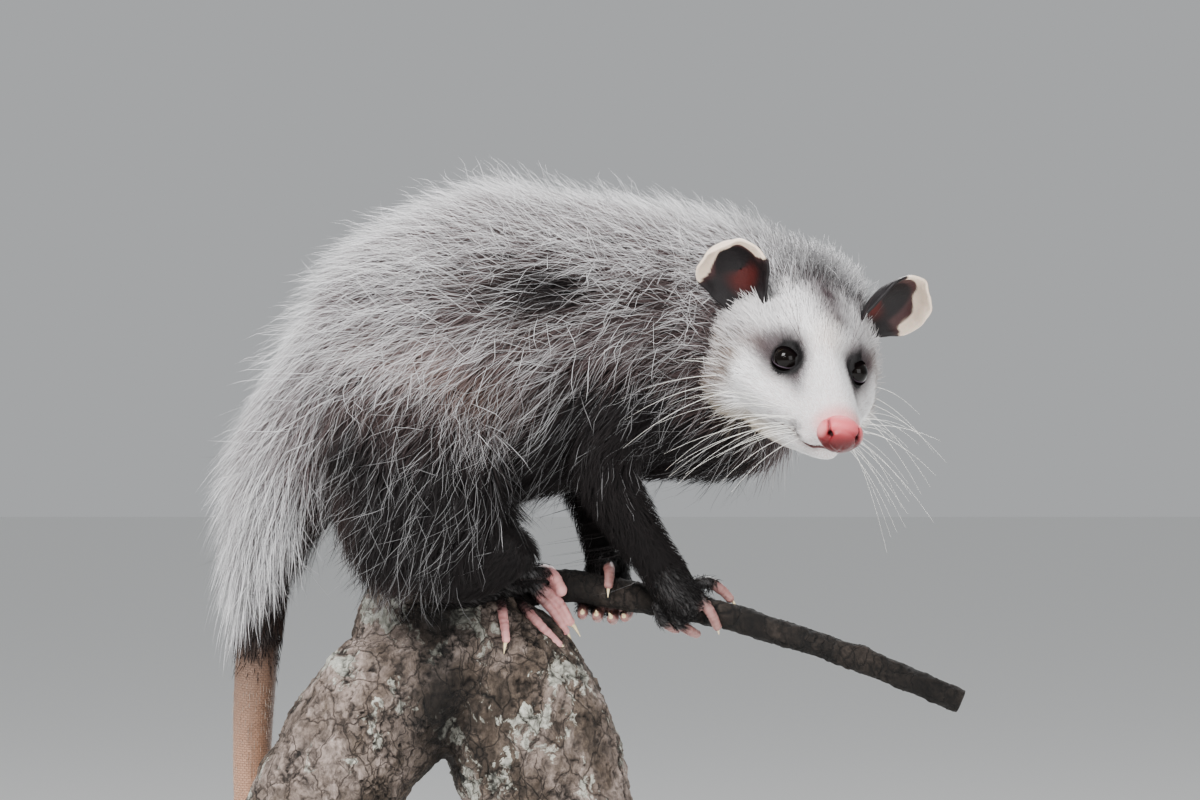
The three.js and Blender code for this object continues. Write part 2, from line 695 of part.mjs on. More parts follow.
function addHead() {
  const lips = bothSides(lip());
  const whole = joined([skull.solid(), ...bothSides(lids()), ...lips]);
  const head = less(whole, ...bothSides(eyeBall(GAP)), nose.solid(GAP));
  const jawPiece = less(jaw.solid(), skull.solid(GAP), ...bothSides(lip(GAP)));
  const nosePiece = less(nose.solid(), ...bothSides(cord(NOSTRIL, 6, 4)), jaw.solid(GAP));
  const [leftEye, rightEye] = bothSides(eyeBall(0));
  const [leftEar, rightEar] = bothSides(less(ear(), skull.solid(GAP)));
  add("head", placed(head, headFrame), looks.face);
  add("jaw", placed(jawPiece, headFrame), looks.face);
  add("nose", placed(nosePiece, headFrame), looks.nose);
  add("eye_left", placed(leftEye, headFrame), looks.eye);
  add("eye_right", placed(rightEye, headFrame), looks.eye);
  add("ear_left", placed(leftEar, headFrame), looks.ear);
  add("ear_right", placed(rightEar, headFrame), looks.ear);
}

// Limbs

// A toe or finger with its claw, unless it has none
function digit(points, radius, clawed = true) {
  const last = points.length - (clawed ? 2 : 1);
  const flesh = points.slice(0, last + 1).map((p, i) => {
    const thick = radius * mix(1.08, 0.86, i / last);
    return [...p, thick, thick];
  });
  const pieces = [cord(flesh, 5, last)];
  if (clawed) {
    const base = vector(points[last]);
    const tip = vector(points[last + 1]);
    const back = base.clone().addScaledVector(tip.clone().sub(base).normalize(), -1);
    const claw = [[...back, 1.5, 1.5], [...base.lerp(tip, 0.5), 1, 1], [...tip, 0.35, 0.35]];
    pieces.push(cord(claw, 4, 2, 0, [0, 0]));
  }
  return pieces;
}

// A hind foot lies over the limb, on its right side (-1) or its left (1)
function sole(side) {
  let y = side * 26;
  const stations = SOLE.map(([x, z, half, rise]) => {
    y = perchFace(x, z, side, y) + side * rise;
    return [x, y, z, half, rise];
  });
  return new Tube(stations, { rings: 3, sides: 8, side: [0, 0, 1], ends: [0.8, 0.6] });
}

function toes(side) {
  return TOES.flatMap((joints, which) => {
    const clawed = which < TOES.length - 1;
    const radius = clawed ? TOE_RADIUS : BIG_TOE_RADIUS;
    let face = side * 20;
    const places = joints.map(([x, z], i) => {
      face = perchFace(x, z, side, face);
      return [x, face + side * (i < 4 ? radius + TOE_CLEAR : 1.4), z];
    });
    return digit(places, radius, clawed);
  });
}

const palmOf = (stations) => new Tube(stations, { rings: 3, sides: 8, ends: [0.6, 0.6] });
const rightPalm = palmOf(RIGHT_PALM);
const leftPalm = palmOf(LEFT_PALM);
const hand = (palm, fingers) =>
  joined([palm.solid(), ...fingers.flatMap((points) => digit(points, FINGER_RADIUS))]);

const armOptions = { rings: 6, sides: 10, ends: [0.5, 0.3] };
const rightArm = new Tube(RIGHT_ARM, armOptions);
const leftArm = new Tube(LEFT_ARM, armOptions);
const haunchTube = new Tube(HAUNCH, { rings: 6, sides: 16 });
const shankTube = new Tube(SHANK, { rings: 4, sides: 12 });
const soles = { right: sole(-1), left: sole(1) };

const trunkTube = new Tube(TRUNK, { rings: 15, sides: 18 });
const tailTube = new Tube(TAIL, { rings: 27, sides: 8, ends: [0.5, 1.5] });
const tailLocks = locksOn(tailTube, TAIL_ROWS, { seed: 41, lie: 1 });
const solids = (locks, grow = 0) => locks.map((lock) => lock.solid(grow));
const mirrored = (list) => list.map((solid) => placed(solid, MIRROR));
const flipped = (point) => point.clone().setY(-point.y);

// The halves of space before and after a tube's cross-section, with a gap between them
const before = ({ centre, along }) => beyond(centre, along.clone().negate());
const after = ({ centre, along }) => beyond(centre.clone().addScaledVector(along, GAP), along);

// The coat's locks of each limb, where the left haunch's serve for both sides
const inTrunk = (point) => trunkTube.holds(point, 1);
const haunchLocks = locksOn(haunchTube, HAUNCH_ROWS, { seed: 31, lie: 1, barred: inTrunk });
const arms = {
  right: { tube: rightArm, locks: locksOn(rightArm, ARM_ROWS, { seed: 21, lie: 1, barred: inTrunk }) },
  left: { tube: leftArm, locks: locksOn(leftArm, ARM_ROWS, { seed: 22, lie: 1, barred: inTrunk }) },
};
const overLimb = (point) =>
  [point, flipped(point)].some((place) => haunchTube.holds(place, LOCK_CLEAR)) ||
  Object.values(arms).some(({ tube }) => tube.holds(point, LOCK_CLEAR));

// The trunk's parts from the front, each behind a plane, with the plane's point and its way ahead
const TRUNK_PARTS = [
  ["neck", NECK_FROM, NECK_NORMAL],
  ["chest", [CHEST_FROM, 0, 0], [1, 0, 0]],
  ["loin", [LOIN_FROM, 0, 0], [1, 0, 0]],
  ["rump", [-FAR / 2, 0, 0], [1, 0, 0]],
];

function addBody() {
  const limbs = [haunchTube.solid(GAP), ...solids(haunchLocks, GAP)];
  const room = [
    headRoom(),
    ...solids(tailLocks, GAP),
    tailTube.solid(GAP),
    shankTube.solid(GAP),
    placed(shankTube.solid(GAP), MIRROR),
    soles.right.solid(GAP),
    soles.left.solid(GAP),
    rightPalm.solid(GAP),
    leftPalm.solid(GAP),
    perch(GAP),
  ];
  const haunch = [haunchTube.solid(), ...solids(haunchLocks)];
  add("haunch_left", less(joined(haunch), ...room), looks.coat);
  add("haunch_right", less(joined(mirrored(haunch)), ...room), looks.coat);
  room.push(...limbs, ...mirrored(limbs));
  Object.entries(arms).forEach(([side, { tube, locks }]) => {
    const arm = less(joined([tube.solid(), ...solids(locks)]), ...room);
    const elbow = tube.frame(ELBOW);
    add(`upper_arm_${side}`, arm.intersect(before(elbow)), looks.dark);
    add(`forearm_${side}`, arm.intersect(after(elbow)), looks.dark);
  });
  Object.values(arms).forEach(({ tube, locks }) => room.push(tube.solid(GAP), ...solids(locks, GAP)));
  let core = trunkTube.solid();
  let locks = locksOn(trunkTube, TRUNK_ROWS, { seed: 11, droop: DROOP, barred: overLimb });
  TRUNK_PARTS.forEach(([name, point, ahead]) => {
    const own = locks.filter(({ root }) => root.clone().sub(vector(point)).dot(vector(ahead)) > 0);
    const region = beyond(point, ahead);
    const front = core.intersect(region);
    add(name, less(joined([front, ...solids(own)]), ...room), looks.coat);
    room.push(...solids(own, GAP), front.translate([-GAP, 0, 0]));
    core = core.subtract(region.translate([-GAP, 0, 0]));
    locks = locks.filter((lock) => !own.includes(lock));
  });
}

function addPaws() {
  const room = perch(GAP);
  add("hand_right", less(hand(rightPalm, RIGHT_FINGERS), room), looks.dark);
  add("hand_left", less(hand(leftPalm, LEFT_FINGERS), room), looks.dark);
  Object.entries(soles).forEach(([side, palm]) => {
    const way = side === "right" ? -1 : 1;
    const shank = side === "right" ? placed(shankTube.solid(), MIRROR) : shankTube.solid();
    add(`foot_${side}`, less(joined([palm.solid(), ...toes(way)]), room), looks.dark);
    add(`shank_${side}`, less(shank, palm.solid(GAP), room), looks.dark);
  });
}

function addTail() {
  const [first, second] = TAIL_CUTS.map((share) => tailTube.frame(share));
  const tail = joined([tailTube.solid(), ...solids(tailLocks)]);
  add("tail_base", tail.intersect(before(first)), looks.dark);
  add("tail_middle", tail.intersect(after(first)).intersect(before(second)), looks.tail);
  add("tail_tip", tailTube.solid().intersect(after(second)), looks.tail);
}

addStand();
addPerch();
addHead();
addPaws();
addTail();
addBody();

export default root;
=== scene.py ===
import math

import bpy
import numpy as np
from mathutils import Matrix, Vector, noise
from mathutils.bvhtree import BVHTree


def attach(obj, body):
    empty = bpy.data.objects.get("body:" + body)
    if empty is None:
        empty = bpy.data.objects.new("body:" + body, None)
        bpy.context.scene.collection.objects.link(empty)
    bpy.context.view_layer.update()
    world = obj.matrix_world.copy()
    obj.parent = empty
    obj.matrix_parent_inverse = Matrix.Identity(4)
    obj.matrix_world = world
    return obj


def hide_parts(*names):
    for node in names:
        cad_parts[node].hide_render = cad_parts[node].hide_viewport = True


# A Virginia opossum on a cut forked limb, on a plain display stand.
# Sizes are in millimetres until a mesh is made.

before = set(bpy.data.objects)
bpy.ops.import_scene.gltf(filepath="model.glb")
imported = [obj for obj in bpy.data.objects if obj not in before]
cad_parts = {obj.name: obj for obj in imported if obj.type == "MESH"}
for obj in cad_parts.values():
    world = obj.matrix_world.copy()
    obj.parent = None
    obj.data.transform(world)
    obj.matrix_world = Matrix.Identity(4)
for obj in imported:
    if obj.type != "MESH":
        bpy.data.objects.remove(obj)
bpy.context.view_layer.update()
MM = 0.001
SKIN_VOXEL, NOSE_VOXEL, PAW_VOXEL, LIMB_VOXEL = 1.45, 0.27, 0.62, 1.18

# How many hairs each coat has
UNDER_HAIRS, MID_HAIRS, GUARD_HAIRS, LOOSE_HAIRS, CROWN_HAIRS = 38000, 8600, 12000, 2600, 2600
LEG_HAIRS, FACE_HAIRS, RUFF_HAIRS = 10000, 30000, 1300
TAIL_ROOT_HAIRS, TAIL_HAIRS, RUMP_HAIRS, PAW_HAIRS = 2600, 1800, 2400, 2100

# How wide a hair of so many steps is at each, how far its ridge stands out as a share of its width, the
# triangles that a piece may have, the size of a hair's patch on the unwrap, and the keys of the coat's cells
TAPER = {2: (1.0, 0.75), 3: (1.0, 0.95, 0.8), 4: (1.0, 0.95, 0.8, 0.6)}
RIDGE = 1.2
PIECE_LIMIT = 190000
PATCH = 0.003
CELL_KEYS = (73856093, 19349663, 83492791)
EAR_CLEARANCE, FOLLOW_REACH = 19, 14
draws = np.random.default_rng(12)

# The same stations as the solids': x, y, z, half side to side, half rise, coat's depth, half drop, pinch.
# The head's are in its own frame, and those of soles and toes are x and z alone.
TRUNK = [
    (-101, 3, 244, 15, 14, 6), (-97, 2, 271, 33, 28, 16), (-84, 0, 304, 48, 42, 20),
    (-58, 0, 325, 57, 54, 18), (-30, 0, 342, 61, 67, 16), (4, 0, 351, 61, 73, 15),
    (38, 0, 354, 57, 66, 14), (67, 0, 354, 52, 61, 13, 65), (90, -3, 356, 46, 57, 13, 68),
    (106, -11, 360, 38, 49, 12, 60), (115, -22, 360, 29, 36, 9, 45), (120, -34, 357, 18, 20, 6, 30),
]
HAUNCH = [
    (-42, 30, 356, 14, 24, 8), (-41, 38, 334, 22, 38, 11), (-37, 43, 310, 26, 45, 13),
    (-32, 44, 288, 26, 46, 13), (-27, 41, 268, 22, 42, 12), (-25, 37, 258, 15, 33, 9),
]
SHANK = [
    (4, 39, 272, 12, 16, 2), (-4, 37, 264, 12, 14, 2), (-13, 34, 257, 10, 11, 1.5),
    (-20, 31, 253, 8, 8, 1),
]
RIGHT_ARM = [
    (58, -26, 340, 18, 25, 8), (49, -33, 318, 17, 21, 8), (45, -33, 300, 14, 17, 7),
    (54, -28, 280, 11.5, 13, 4), (66, -20, 262, 9, 10, 2), (70, -17, 256, 8, 9, 1),
]
LEFT_ARM = [
    (54, 26, 338, 18, 25, 8), (44, 33, 316, 17, 20, 8), (38, 32, 297, 14, 15, 6),
    (41, 25, 279, 10, 11, 4), (44, 16, 264, 8, 8.5, 2), (45, 12, 259, 7, 8, 1),
]
TAIL = [
    (-98, 2, 262, 8.6, 8.6), (-101, 4, 243, 9.2, 9.2), (-102.5, 8, 222, 9, 9),
    (-104.5, 14, 187, 8.3, 8.3), (-104.5, 18, 150, 7.5, 7.5), (-101, 21, 110, 6.6, 6.6),
    (-91, 24, 72, 5.7, 5.7), (-69, 26, 41, 4.9, 4.9), (-40, 25, 29, 4.2, 4.2), (-14, 21, 34, 3.5, 3.5),
    (3, 17, 50, 2.8, 2.8), (6, 14, 66, 2, 2),
]
SKULL = [
    (-76, 0, -1, 28, 25, 6, 24, 0), (-64, 0, -3, 35, 31, 6, 27, 0), (-50, 0, -6, 38.5, 35, 6, 29, 0.05),
    (-37, 0, -9, 39, 36.5, 6, 29, 0.12), (-24, 0, -12, 37.5, 35.5, 5, 27, 0.18),
    (-12, 0, -14, 33.5, 32.4, 3.6, 22, 0.3), (-2, 0, -15, 28.5, 28.5, 2.4, 17.5, 0.48),
    (8, 0, -15, 23, 24.5, 1.8, 15, 0.62), (19, 0, -15, 17.8, 20.5, 1.4, 12.5, 0.45),
    (30, 0, -14.5, 14, 15.8, 1, 10.5, 0.2), (38, 0, -14, 11.2, 11.6, 0.6, 8.5, 0),
    (43, 0, -13.6, 8.6, 8.4, 0.4, 6.8, 0),
]
JAW = [
    (-30, 0, -31, 22, 9, 3), (-16, 0, -32.4, 19.5, 8, 2.5), (-3, 0, -32, 15.5, 7, 2),
    (10, 0, -30, 11.5, 6, 1.5), (21, 0, -28, 9, 5, 1.2), (30, 0, -26, 7, 4.2, 0.8),
    (36, 0, -24.6, 5, 3.2, 0.6),
]
NOSE = [
    (39, 0, -13.4, 7.4, 6.6), (43.5, 0, -13, 9, 7.8), (46.8, 0, -13, 8.5, 7.4),
    (49.2, 0, -13.4, 5.8, 5.2),
]
EYE_AT = np.array((-1.7, 14.7, -1.1))
EYE_FACES = np.array((0.68, 0.65, 0.34)) / np.linalg.norm((0.68, 0.65, 0.34))
EYE_RADIUS = 5.9
EAR_AT = np.array((-35, 35, 19))
EAR_TO_TIP = np.array((-0.05, 0.5, 0.86))
LIMB_RIGHT_LEG = [
    (26, -3, 144, 30, 33), (21, -2, 162, 31, 34), (14, 0, 184, 31, 36), (5, 1, 204, 31, 35),
    (-7, 3, 220, 31, 32), (-26, 7, 232, 30, 29), (-48, 13, 240, 27, 26),
]
LIMB_LEFT_LEG = [
    (-86, -18, 144, 26, 26), (-78, -17, 160, 27, 27), (-68, -14, 174, 28.5, 28.5), (-54, -9, 194, 31, 31),
    (-38, -3, 208, 32, 32), (-20, 2, 218, 31, 31),
]
BRANCH = [
    (-8, 9, 243, 7.6, 7.6), (14, 7, 250, 7.2, 7.2), (28, 4, 251.6, 6.8, 6.8), (46, 1, 249, 6.6, 6.6),
    (74, -3, 243.4, 6, 6), (101, -6, 237.4, 5.7, 5.7), (147, -9, 222.4, 5.4, 5.4),
    (193, -12, 203.6, 5.2, 5.2),
]
LIMB_FOOT_Z = 160
SOLE = [(-24, 251, 7, 6), (-14, 250, 7.5, 6), (-3, 250.5, 8, 5.6), (7, 251.5, 7, 4.6)]
TOES = [
    [(-1, 250), (0.5, 245), (1.8, 238), (2.9, 230), (2.2, 225.5)],
    [(3, 251), (9, 244), (17, 235.6), (24.6, 227.6), (28, 224.4)],
    [(7, 253), (13, 250), (21.6, 241.8), (27.4, 232.4), (29.6, 228.6)],
    [(9, 255), (15, 253), (24, 246), (29.6, 236.4), (32.8, 231.6)],
    [(9, 257), (15, 257.4), (21.5, 256.6), (25.6, 250)],
]
RIGHT_FINGERS = [
    [(79, -11, 252), (87, -7, 253.4), (93, -5, 250), (96.4, -4, 246.4), (98.6, -4, 243.6)],
    [(78, -14, 249), (84, -13.5, 246.6), (88.4, -14, 240.6), (91, -12, 235), (91.6, -9.4, 232.4)],
    [(71, -14, 243), (75, -12, 236.6), (79.4, -8.4, 233.2), (82.4, -4, 231.6), (83.4, -1.4, 232)],
    [(66, -13, 244), (68.6, -11, 237.6), (72, -7, 234.6), (74, -2.6, 233.6), (75, 0, 234.2)],
    [(74, -7, 253), (78, 1, 252.4), (80.6, 6.6, 247), (82, 7.4, 241), (82.4, 5.4, 237.6)],
]
LEFT_FINGERS = [
    [(44, 9, 261), (45.4, 2, 260), (46, -5, 257.4), (45.6, -9, 252.4), (45.4, -9.4, 248.6)],
    [(52, 9, 252), (54, 11, 245), (53.6, 6, 239.6), (52.4, -0.6, 238.4), (51.6, -4, 239.4)],
    [(47, 9, 250), (48, 11, 242.6), (47.6, 5, 237.6), (46.8, -2.4, 237.8), (46, -6.4, 239.8)],
    [(41, 9, 250), (41.4, 10.4, 242.6), (41, 4.4, 238.4), (40.6, -3, 239), (40.4, -7, 241)],
    [(38, 9, 251), (35.4, 10, 244.6), (34.6, 5, 239.8), (34.6, -1.4, 239.8), (34.6, -5, 241.4)],
]
RIGHT_PALM = [
    (68, -18, 259, 9, 8.6), (72, -15, 252, 10, 8.6), (76, -12.6, 247, 9.6, 8), (80, -11, 243, 7, 6.6),
]
LEFT_PALM = [(45, 14, 263, 7.5, 8), (45, 13, 256, 8, 9), (45, 12, 249, 7, 10), (44.6, 11, 243, 5, 9)]

# The head's own frame
head_axes = [Matrix.Rotation(math.radians(a), 3, k) for a, k in ((-76, "Z"), (22, "Y"), (-11, "X"))]
HEAD_TURN = np.array(head_axes[0] @ head_axes[1] @ head_axes[2])
HEAD_AT = np.array((133.5, -60, 344))
SIDES = ((-1, "right"), (1, "left"))


def to_world(local):
    return np.asarray(local, float) @ HEAD_TURN.T + HEAD_AT


def to_head(world):
    return (np.asarray(world, float) - HEAD_AT) @ HEAD_TURN


def unit(a):
    return a / np.maximum(np.linalg.norm(a, axis=-1, keepdims=True), 1e-9)


def along_skin(way, normal):
    """Ways laid along a surface."""
    return unit(way - normal * (way * normal).sum(1, keepdims=True))


def smooth(a, b, x):
    s = np.clip((x - a) / (b - a), 0, 1)
    return s * s * (3 - 2 * s)


def blob(p, centre, size):
    """A soft bump of 1 at centre that fades over size, for each point."""
    return np.exp(-np.sum(((p - np.array(centre, float)) / np.array(size, float)) ** 2, axis=-1))


def tint(r, g, b):
    """A colour as seen on a screen, in linear light."""
    return np.array([((c + 0.055) / 1.055) ** 2.4 if c > 0.04045 else c / 12.92 for c in (r, g, b)])


def limited(x):
    return np.clip(x, 0, 1)


def blend(a, b, share):
    return a + (b - a) * np.asarray(share)[..., None]


def painted(colour, *layers):
    """A colour with others laid over it in turn, each by its share at each point."""
    for other, share in layers:
        colour = blend(colour, other, share)
    return colour


def revolve(rings):
    """A skin over rings of points, open at both ends."""
    sides = len(rings[0])
    faces = []
    for i in range(len(rings) - 1):
        for j in range(sides):
            k = (j + 1) % sides
            faces.append((i * sides + j, i * sides + k, (i + 1) * sides + k, (i + 1) * sides + j))
    return np.vstack(rings), faces


def facing(faces, s):
    """Faces, turned over for a side that is mirrored."""
    return faces if s > 0 else [face[::-1] for face in faces]


def joined(shapes):
    """Shapes of vertices and faces as one."""
    vertices, faces, start = [], [], 0
    for v, f in shapes:
        vertices.append(v)
        faces += [tuple(i + start for i in face) for face in f]
        start += len(v)
    return np.vstack(vertices), faces


FINE_STEPS, BATCH = 801, 20000
CAP_TURNS = (0.5, 0.95, 1.3)


class Tube:
    """A tube through stations, with rings at even steps along it and inside its coat."""

    def __init__(self, stations, rings, side=(0, 1, 0), ends=(0.5, 0.5)):
        table = []
        for s in stations:
            coat, drop, pinch = (s[i] if len(s) > i else plain for i, plain in ((5, 0), (6, s[4]), (7, 0)))
            table.append((*s[:3], s[3] - coat, s[4] - coat, drop - coat, pinch, coat))
        table = np.array(table, float)
        spans = len(table) - 1
        t = np.linspace(0, 1, FINE_STEPS)
        i = np.minimum(spans - 1, (t * spans).astype(int))
        share = (t * spans - i)[:, None]
        a, b, c, d = (table[np.clip(i + k, 0, spans)] for k in (-1, 0, 1, 2))
        into, out, over = (c - a) / 2, (d - b) / 2, b - c
        fine = b + share * (into + share * (-3 * over - 2 * into - out + share * (2 * over + into + out)))
        steps = np.linalg.norm(np.diff(fine[:, :3], axis=0), axis=1)
        far = np.concatenate([[0], np.cumsum(steps)])
        self.length = far[-1]
        at = np.linspace(0, self.length, rings + 1)
        rows = np.stack([np.interp(at, far, fine[:, k]) for k in range(8)], axis=1)
        self.centre = rows[:, :3]
        self.half, self.rise, self.drop, self.pinch, self.coat = rows[:, 3:].T
        self.along = unit(np.gradient(self.centre, axis=0))
        lateral = np.array(side, float)
        laterals = []
        for way in self.along:
            lateral = unit(lateral - way * (lateral @ way))
            laterals.append(lateral)
        self.lateral = np.array(laterals)
        self.up = np.cross(self.along, self.lateral)
        self.ends = ends

    def points(self, k, angle, scale=1.0):
        """Points of ring k at some angles."""
        high = np.maximum(0, np.sin(angle))
        across = np.cos(angle) * self.half[k] * (1 - self.pinch[k] * high) * scale
        up = np.sin(angle) * np.where(np.sin(angle) > 0, self.rise[k], self.drop[k]) * scale
        return self.centre[k] + across[:, None] * self.lateral[k] + up[:, None] * self.up[k]

    def mesh(self, sides):
        angle = np.linspace(0, 2 * math.pi, sides, endpoint=False)
        last = len(self.centre) - 1
        rings = [self.points(k, angle) for k in range(last + 1)]
        poles = []
        for k, way, end in ((0, -1, self.ends[0]), (last, 1, self.ends[1])):
            deep = way * end * min(self.half[k], self.rise[k])
            caps = [self.points(k, angle, math.cos(f)) + deep * math.sin(f) * self.along[k]
                    for f in CAP_TURNS]
            rings = caps[::-1] + rings if way < 0 else rings + caps
            poles.append(self.centre[k] + deep * self.along[k])
        vertices, faces = revolve(rings)
        n = len(vertices)
        for j in range(sides):
            k = (j + 1) % sides
            faces += [(n, k, j), (n + 1, n - sides + j, n - sides + k)]
        return np.vstack([vertices, poles]), faces

    def locate(self, p):
        """Each point's distance from the axis as a share of the ring, its place along, its angle and ring."""
        nearest = [((part[:, None] - self.centre[None]) ** 2).sum(-1).argmin(1)
                   for part in np.array_split(p, len(p) // BATCH + 1)]
        which = np.concatenate(nearest)
        off = p - self.centre[which]
        across, up, ahead = ((off * axis[which]).sum(-1) for axis in (self.lateral, self.up, self.along))
        tall = np.where(up > 0, self.rise[which], self.drop[which])
        angle = np.arctan2(up / tall, across / self.half[which])
        wide = self.half[which] * (1 - self.pinch[which] * np.maximum(0, np.sin(angle)))
        at_end = (which == 0) & (ahead < 0) | (which == len(self.centre) - 1) & (ahead > 0)
        past = np.where(at_end, ahead, 0) / np.maximum(self.half[which], 1)
        share = np.sqrt((across / wide) ** 2 + (up / tall) ** 2 + past ** 2)
        return share, which / (len(self.centre) - 1), angle, which


def cord(points, radii, sides=10, rings=24, ends=(0.8, 0.8)):
    stations = [(*q, r, r) for q, r in zip(points, radii)]
    return Tube(stations, rings, side=(0.3, 1, 0.2), ends=ends).mesh(sides)


def flipped(stations):
    return [(s[0], -s[1], *s[2:]) for s in stations]


# Materials
SHADER = {"roughness": "Roughness", "specular": "Specular IOR Level", "coat": "Coat Weight",
          "subsurface": "Subsurface Weight", "metallic": "Metallic"}
GRAIN_DEPTH = 0.0006


class Look:
    """A material, with its nodes made and joined in short calls."""

    def __init__(self, name, **values):
        self.material = bpy.data.materials.new(name)
        self.material.use_nodes = True
        self.nodes = self.material.node_tree.nodes
        self.shader = self.nodes["Principled BSDF"]
        self.put(self.shader, {"Subsurface Scale": 0.002})
        self.put(self.shader, {SHADER[key]: value for key, value in values.items()})

    def put(self, node, inputs):
        """Set sockets, or join other nodes' outputs to them."""
        for key, value in inputs.items():
            if isinstance(value, bpy.types.NodeSocket):
                self.material.node_tree.links.new(value, node.inputs[key])
            else:
                node.inputs[key].default_value = value

    def node(self, kind, inputs, **settings):
        made = self.nodes.new(f"ShaderNode{kind}")
        for key, value in settings.items():
            setattr(made, key, value)
        self.put(made, inputs)
        return made

    def place(self, stretch=None):
        """Where each point lies in the piece."""
        where = self.node("TexCoord", {}).outputs["Object"]
        if stretch is None:
            return where
        return self.node("Mapping", {"Vector": where, "Scale": stretch}).outputs["Vector"]

    def own(self):
        """The mesh's own colour."""
        return self.node("VertexColor", {}, layer_name="Tint").outputs["Color"]

    def mix(self, a, b, factor=1.0, kind="MULTIPLY"):
        inputs = {"A": a, "B": b, "Factor": factor}
        return self.node("Mix", inputs, data_type="RGBA", blend_type=kind).outputs["Result"]

    def ramp(self, source, *stops):
        """Colours between stops along a value."""
        node = self.node("ValToRGB", {"Fac": source})
        elements = node.color_ramp.elements
        elements[0].position, elements[1].position = stops[0][0], stops[-1][0]
        for position, _ in stops[1:-1]:
            elements.new(position)
        for element, (position, colour) in zip(elements, stops):
            element.position = position
            element.color = (*colour, 1)
        return node.outputs["Color"]

    def finish(self, colour, height=None, strength=1.0, distance=0.001, **settings):
        """The shader's colour, and its bump where there is a height."""
        self.put(self.shader, {"Base Color": colour})
        if height is not None:
            inputs = {"Height": height, "Strength": strength, "Distance": distance}
            self.put(self.shader, {"Normal": self.node("Bump", inputs, **settings).outputs["Normal"]})
        return self.material


def coloured(name, roughness, bump=0.0, scale=900.0, mottle=0.0, **values):
    """A surface with the mesh's own colours, fine mottling and a fine bump."""
    look = Look(name, roughness=roughness, **values)
    grain = look.node("TexNoise", {"Vector": look.place(), "Scale": scale, "Detail": 4}).outputs
    colour = look.mix(look.own(), grain["Color"], mottle)
    return look.finish(colour, grain["Fac"] if bump else None, bump, GRAIN_DEPTH)


# Meshes


def finished(name, mesh, look, colours):
    """A piece that rides on the model, with a colour at each point."""
    mesh.name = name
    mesh.materials.clear()
    mesh.materials.append(look)
    mesh.polygons.foreach_set("use_smooth", np.ones(len(mesh.polygons), bool))
    if colours is not None:
        whole = np.ones((len(mesh.vertices), 4), np.float32)
        whole[:, :3] = np.clip(colours, 0, 1)
        mesh.color_attributes.new("Tint", "FLOAT_COLOR", "POINT").data.foreach_set("color", whole.ravel())
    thing = bpy.data.objects.new(name, mesh)
    bpy.context.scene.collection.objects.link(thing)
    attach(thing, "root")
    return thing


def add(name, shape, look, colours=None):
    mesh = bpy.data.meshes.new(name)
    mesh.from_pydata((np.asarray(shape[0]) * MM).tolist(), [], [tuple(int(i) for i in f) for f in shape[1]])
    return finished(name, mesh, look, colours)


def remeshed(shapes, voxel, passes):
    """Closed shapes fused into one smooth mesh."""
    vertices, faces = joined(shapes)
    mesh = bpy.data.meshes.new("fused")
    mesh.from_pydata((vertices * MM).tolist(), [], faces)
    thing = bpy.data.objects.new("fused", mesh)
    bpy.context.scene.collection.objects.link(thing)
    fuse = thing.modifiers.new("fuse", "REMESH")
    fuse.mode = "VOXEL"
    fuse.voxel_size = voxel * MM
    soften = thing.modifiers.new("soften", "SMOOTH")
    soften.factor = 0.5
    soften.iterations = passes
    bpy.context.view_layer.update()
    made = bpy.data.meshes.new_from_object(thing.evaluated_get(bpy.context.evaluated_depsgraph_get()))
    bpy.data.objects.remove(thing)
    bpy.data.meshes.remove(mesh)
    return made


def read(mesh):
    """The places, in mm, and the normals of a mesh's points."""
    found = []
    for data, key in ((mesh.vertices, "co"), (mesh.vertex_normals, "vector")):
        flat = np.empty(len(mesh.vertices) * 3, np.float32)
        data.foreach_get(key, flat)
        found.append(flat.reshape(-1, 3).astype(float))
    return found[0] / MM, found[1]


def moved(mesh, p):
    mesh.vertices.foreach_set("co", (p * MM).astype(np.float32).ravel())
    mesh.update()


def rough(p, scale, seed=0.0, depth=3):
    """Fractal noise of about -1 to 1 at each point, with features of about scale mm."""
    shift = Vector((seed * 7.1, seed * 3.7, -seed * 5.3))
    return np.array([noise.fractal(Vector(q) / scale + shift, 0.7, 2.0, depth) for q in p])


def ellipsoid(centre, radii):
    rows, sides = 10, 18
    v = [(0, 0, 1)]
    for i in range(1, rows):
        f = math.pi * i / rows
        for j in range(sides):
            a = 2 * math.pi * j / sides
            v.append((math.sin(f) * math.cos(a), math.sin(f) * math.sin(a), math.cos(f)))
    v.append((0, 0, -1))
    faces = []
    for j in range(sides):
        k = (j + 1) % sides
        faces.append((0, 1 + j, 1 + k))
        for a in range(1, 1 + (rows - 2) * sides, sides):
            faces.append((a + j, a + sides + j, a + sides + k, a + k))
        a = 1 + (rows - 2) * sides
        faces.append((a + j, len(v) - 1, a + k))
    return np.array(v) * np.array(radii) + np.array(centre), faces


# Skin


def in_world(shape):
    return to_world(shape[0]), shape[1]


trunk = Tube(TRUNK, 60)
haunches = [Tube(flipped(HAUNCH), 30), Tube(HAUNCH, 30)]
arms = [Tube(RIGHT_ARM, 30, ends=(0.5, 0.3)), Tube(LEFT_ARM, 30, ends=(0.5, 0.3))]
shanks = [Tube(flipped(SHANK), 14), Tube(SHANK, 14)]
skull = Tube(SKULL, 70, ends=(0.5, 0.3))
jaw = Tube(JAW, 20, ends=(0.5, 0.7))
tail = Tube(TAIL, 420, ends=(0.5, 1.5))

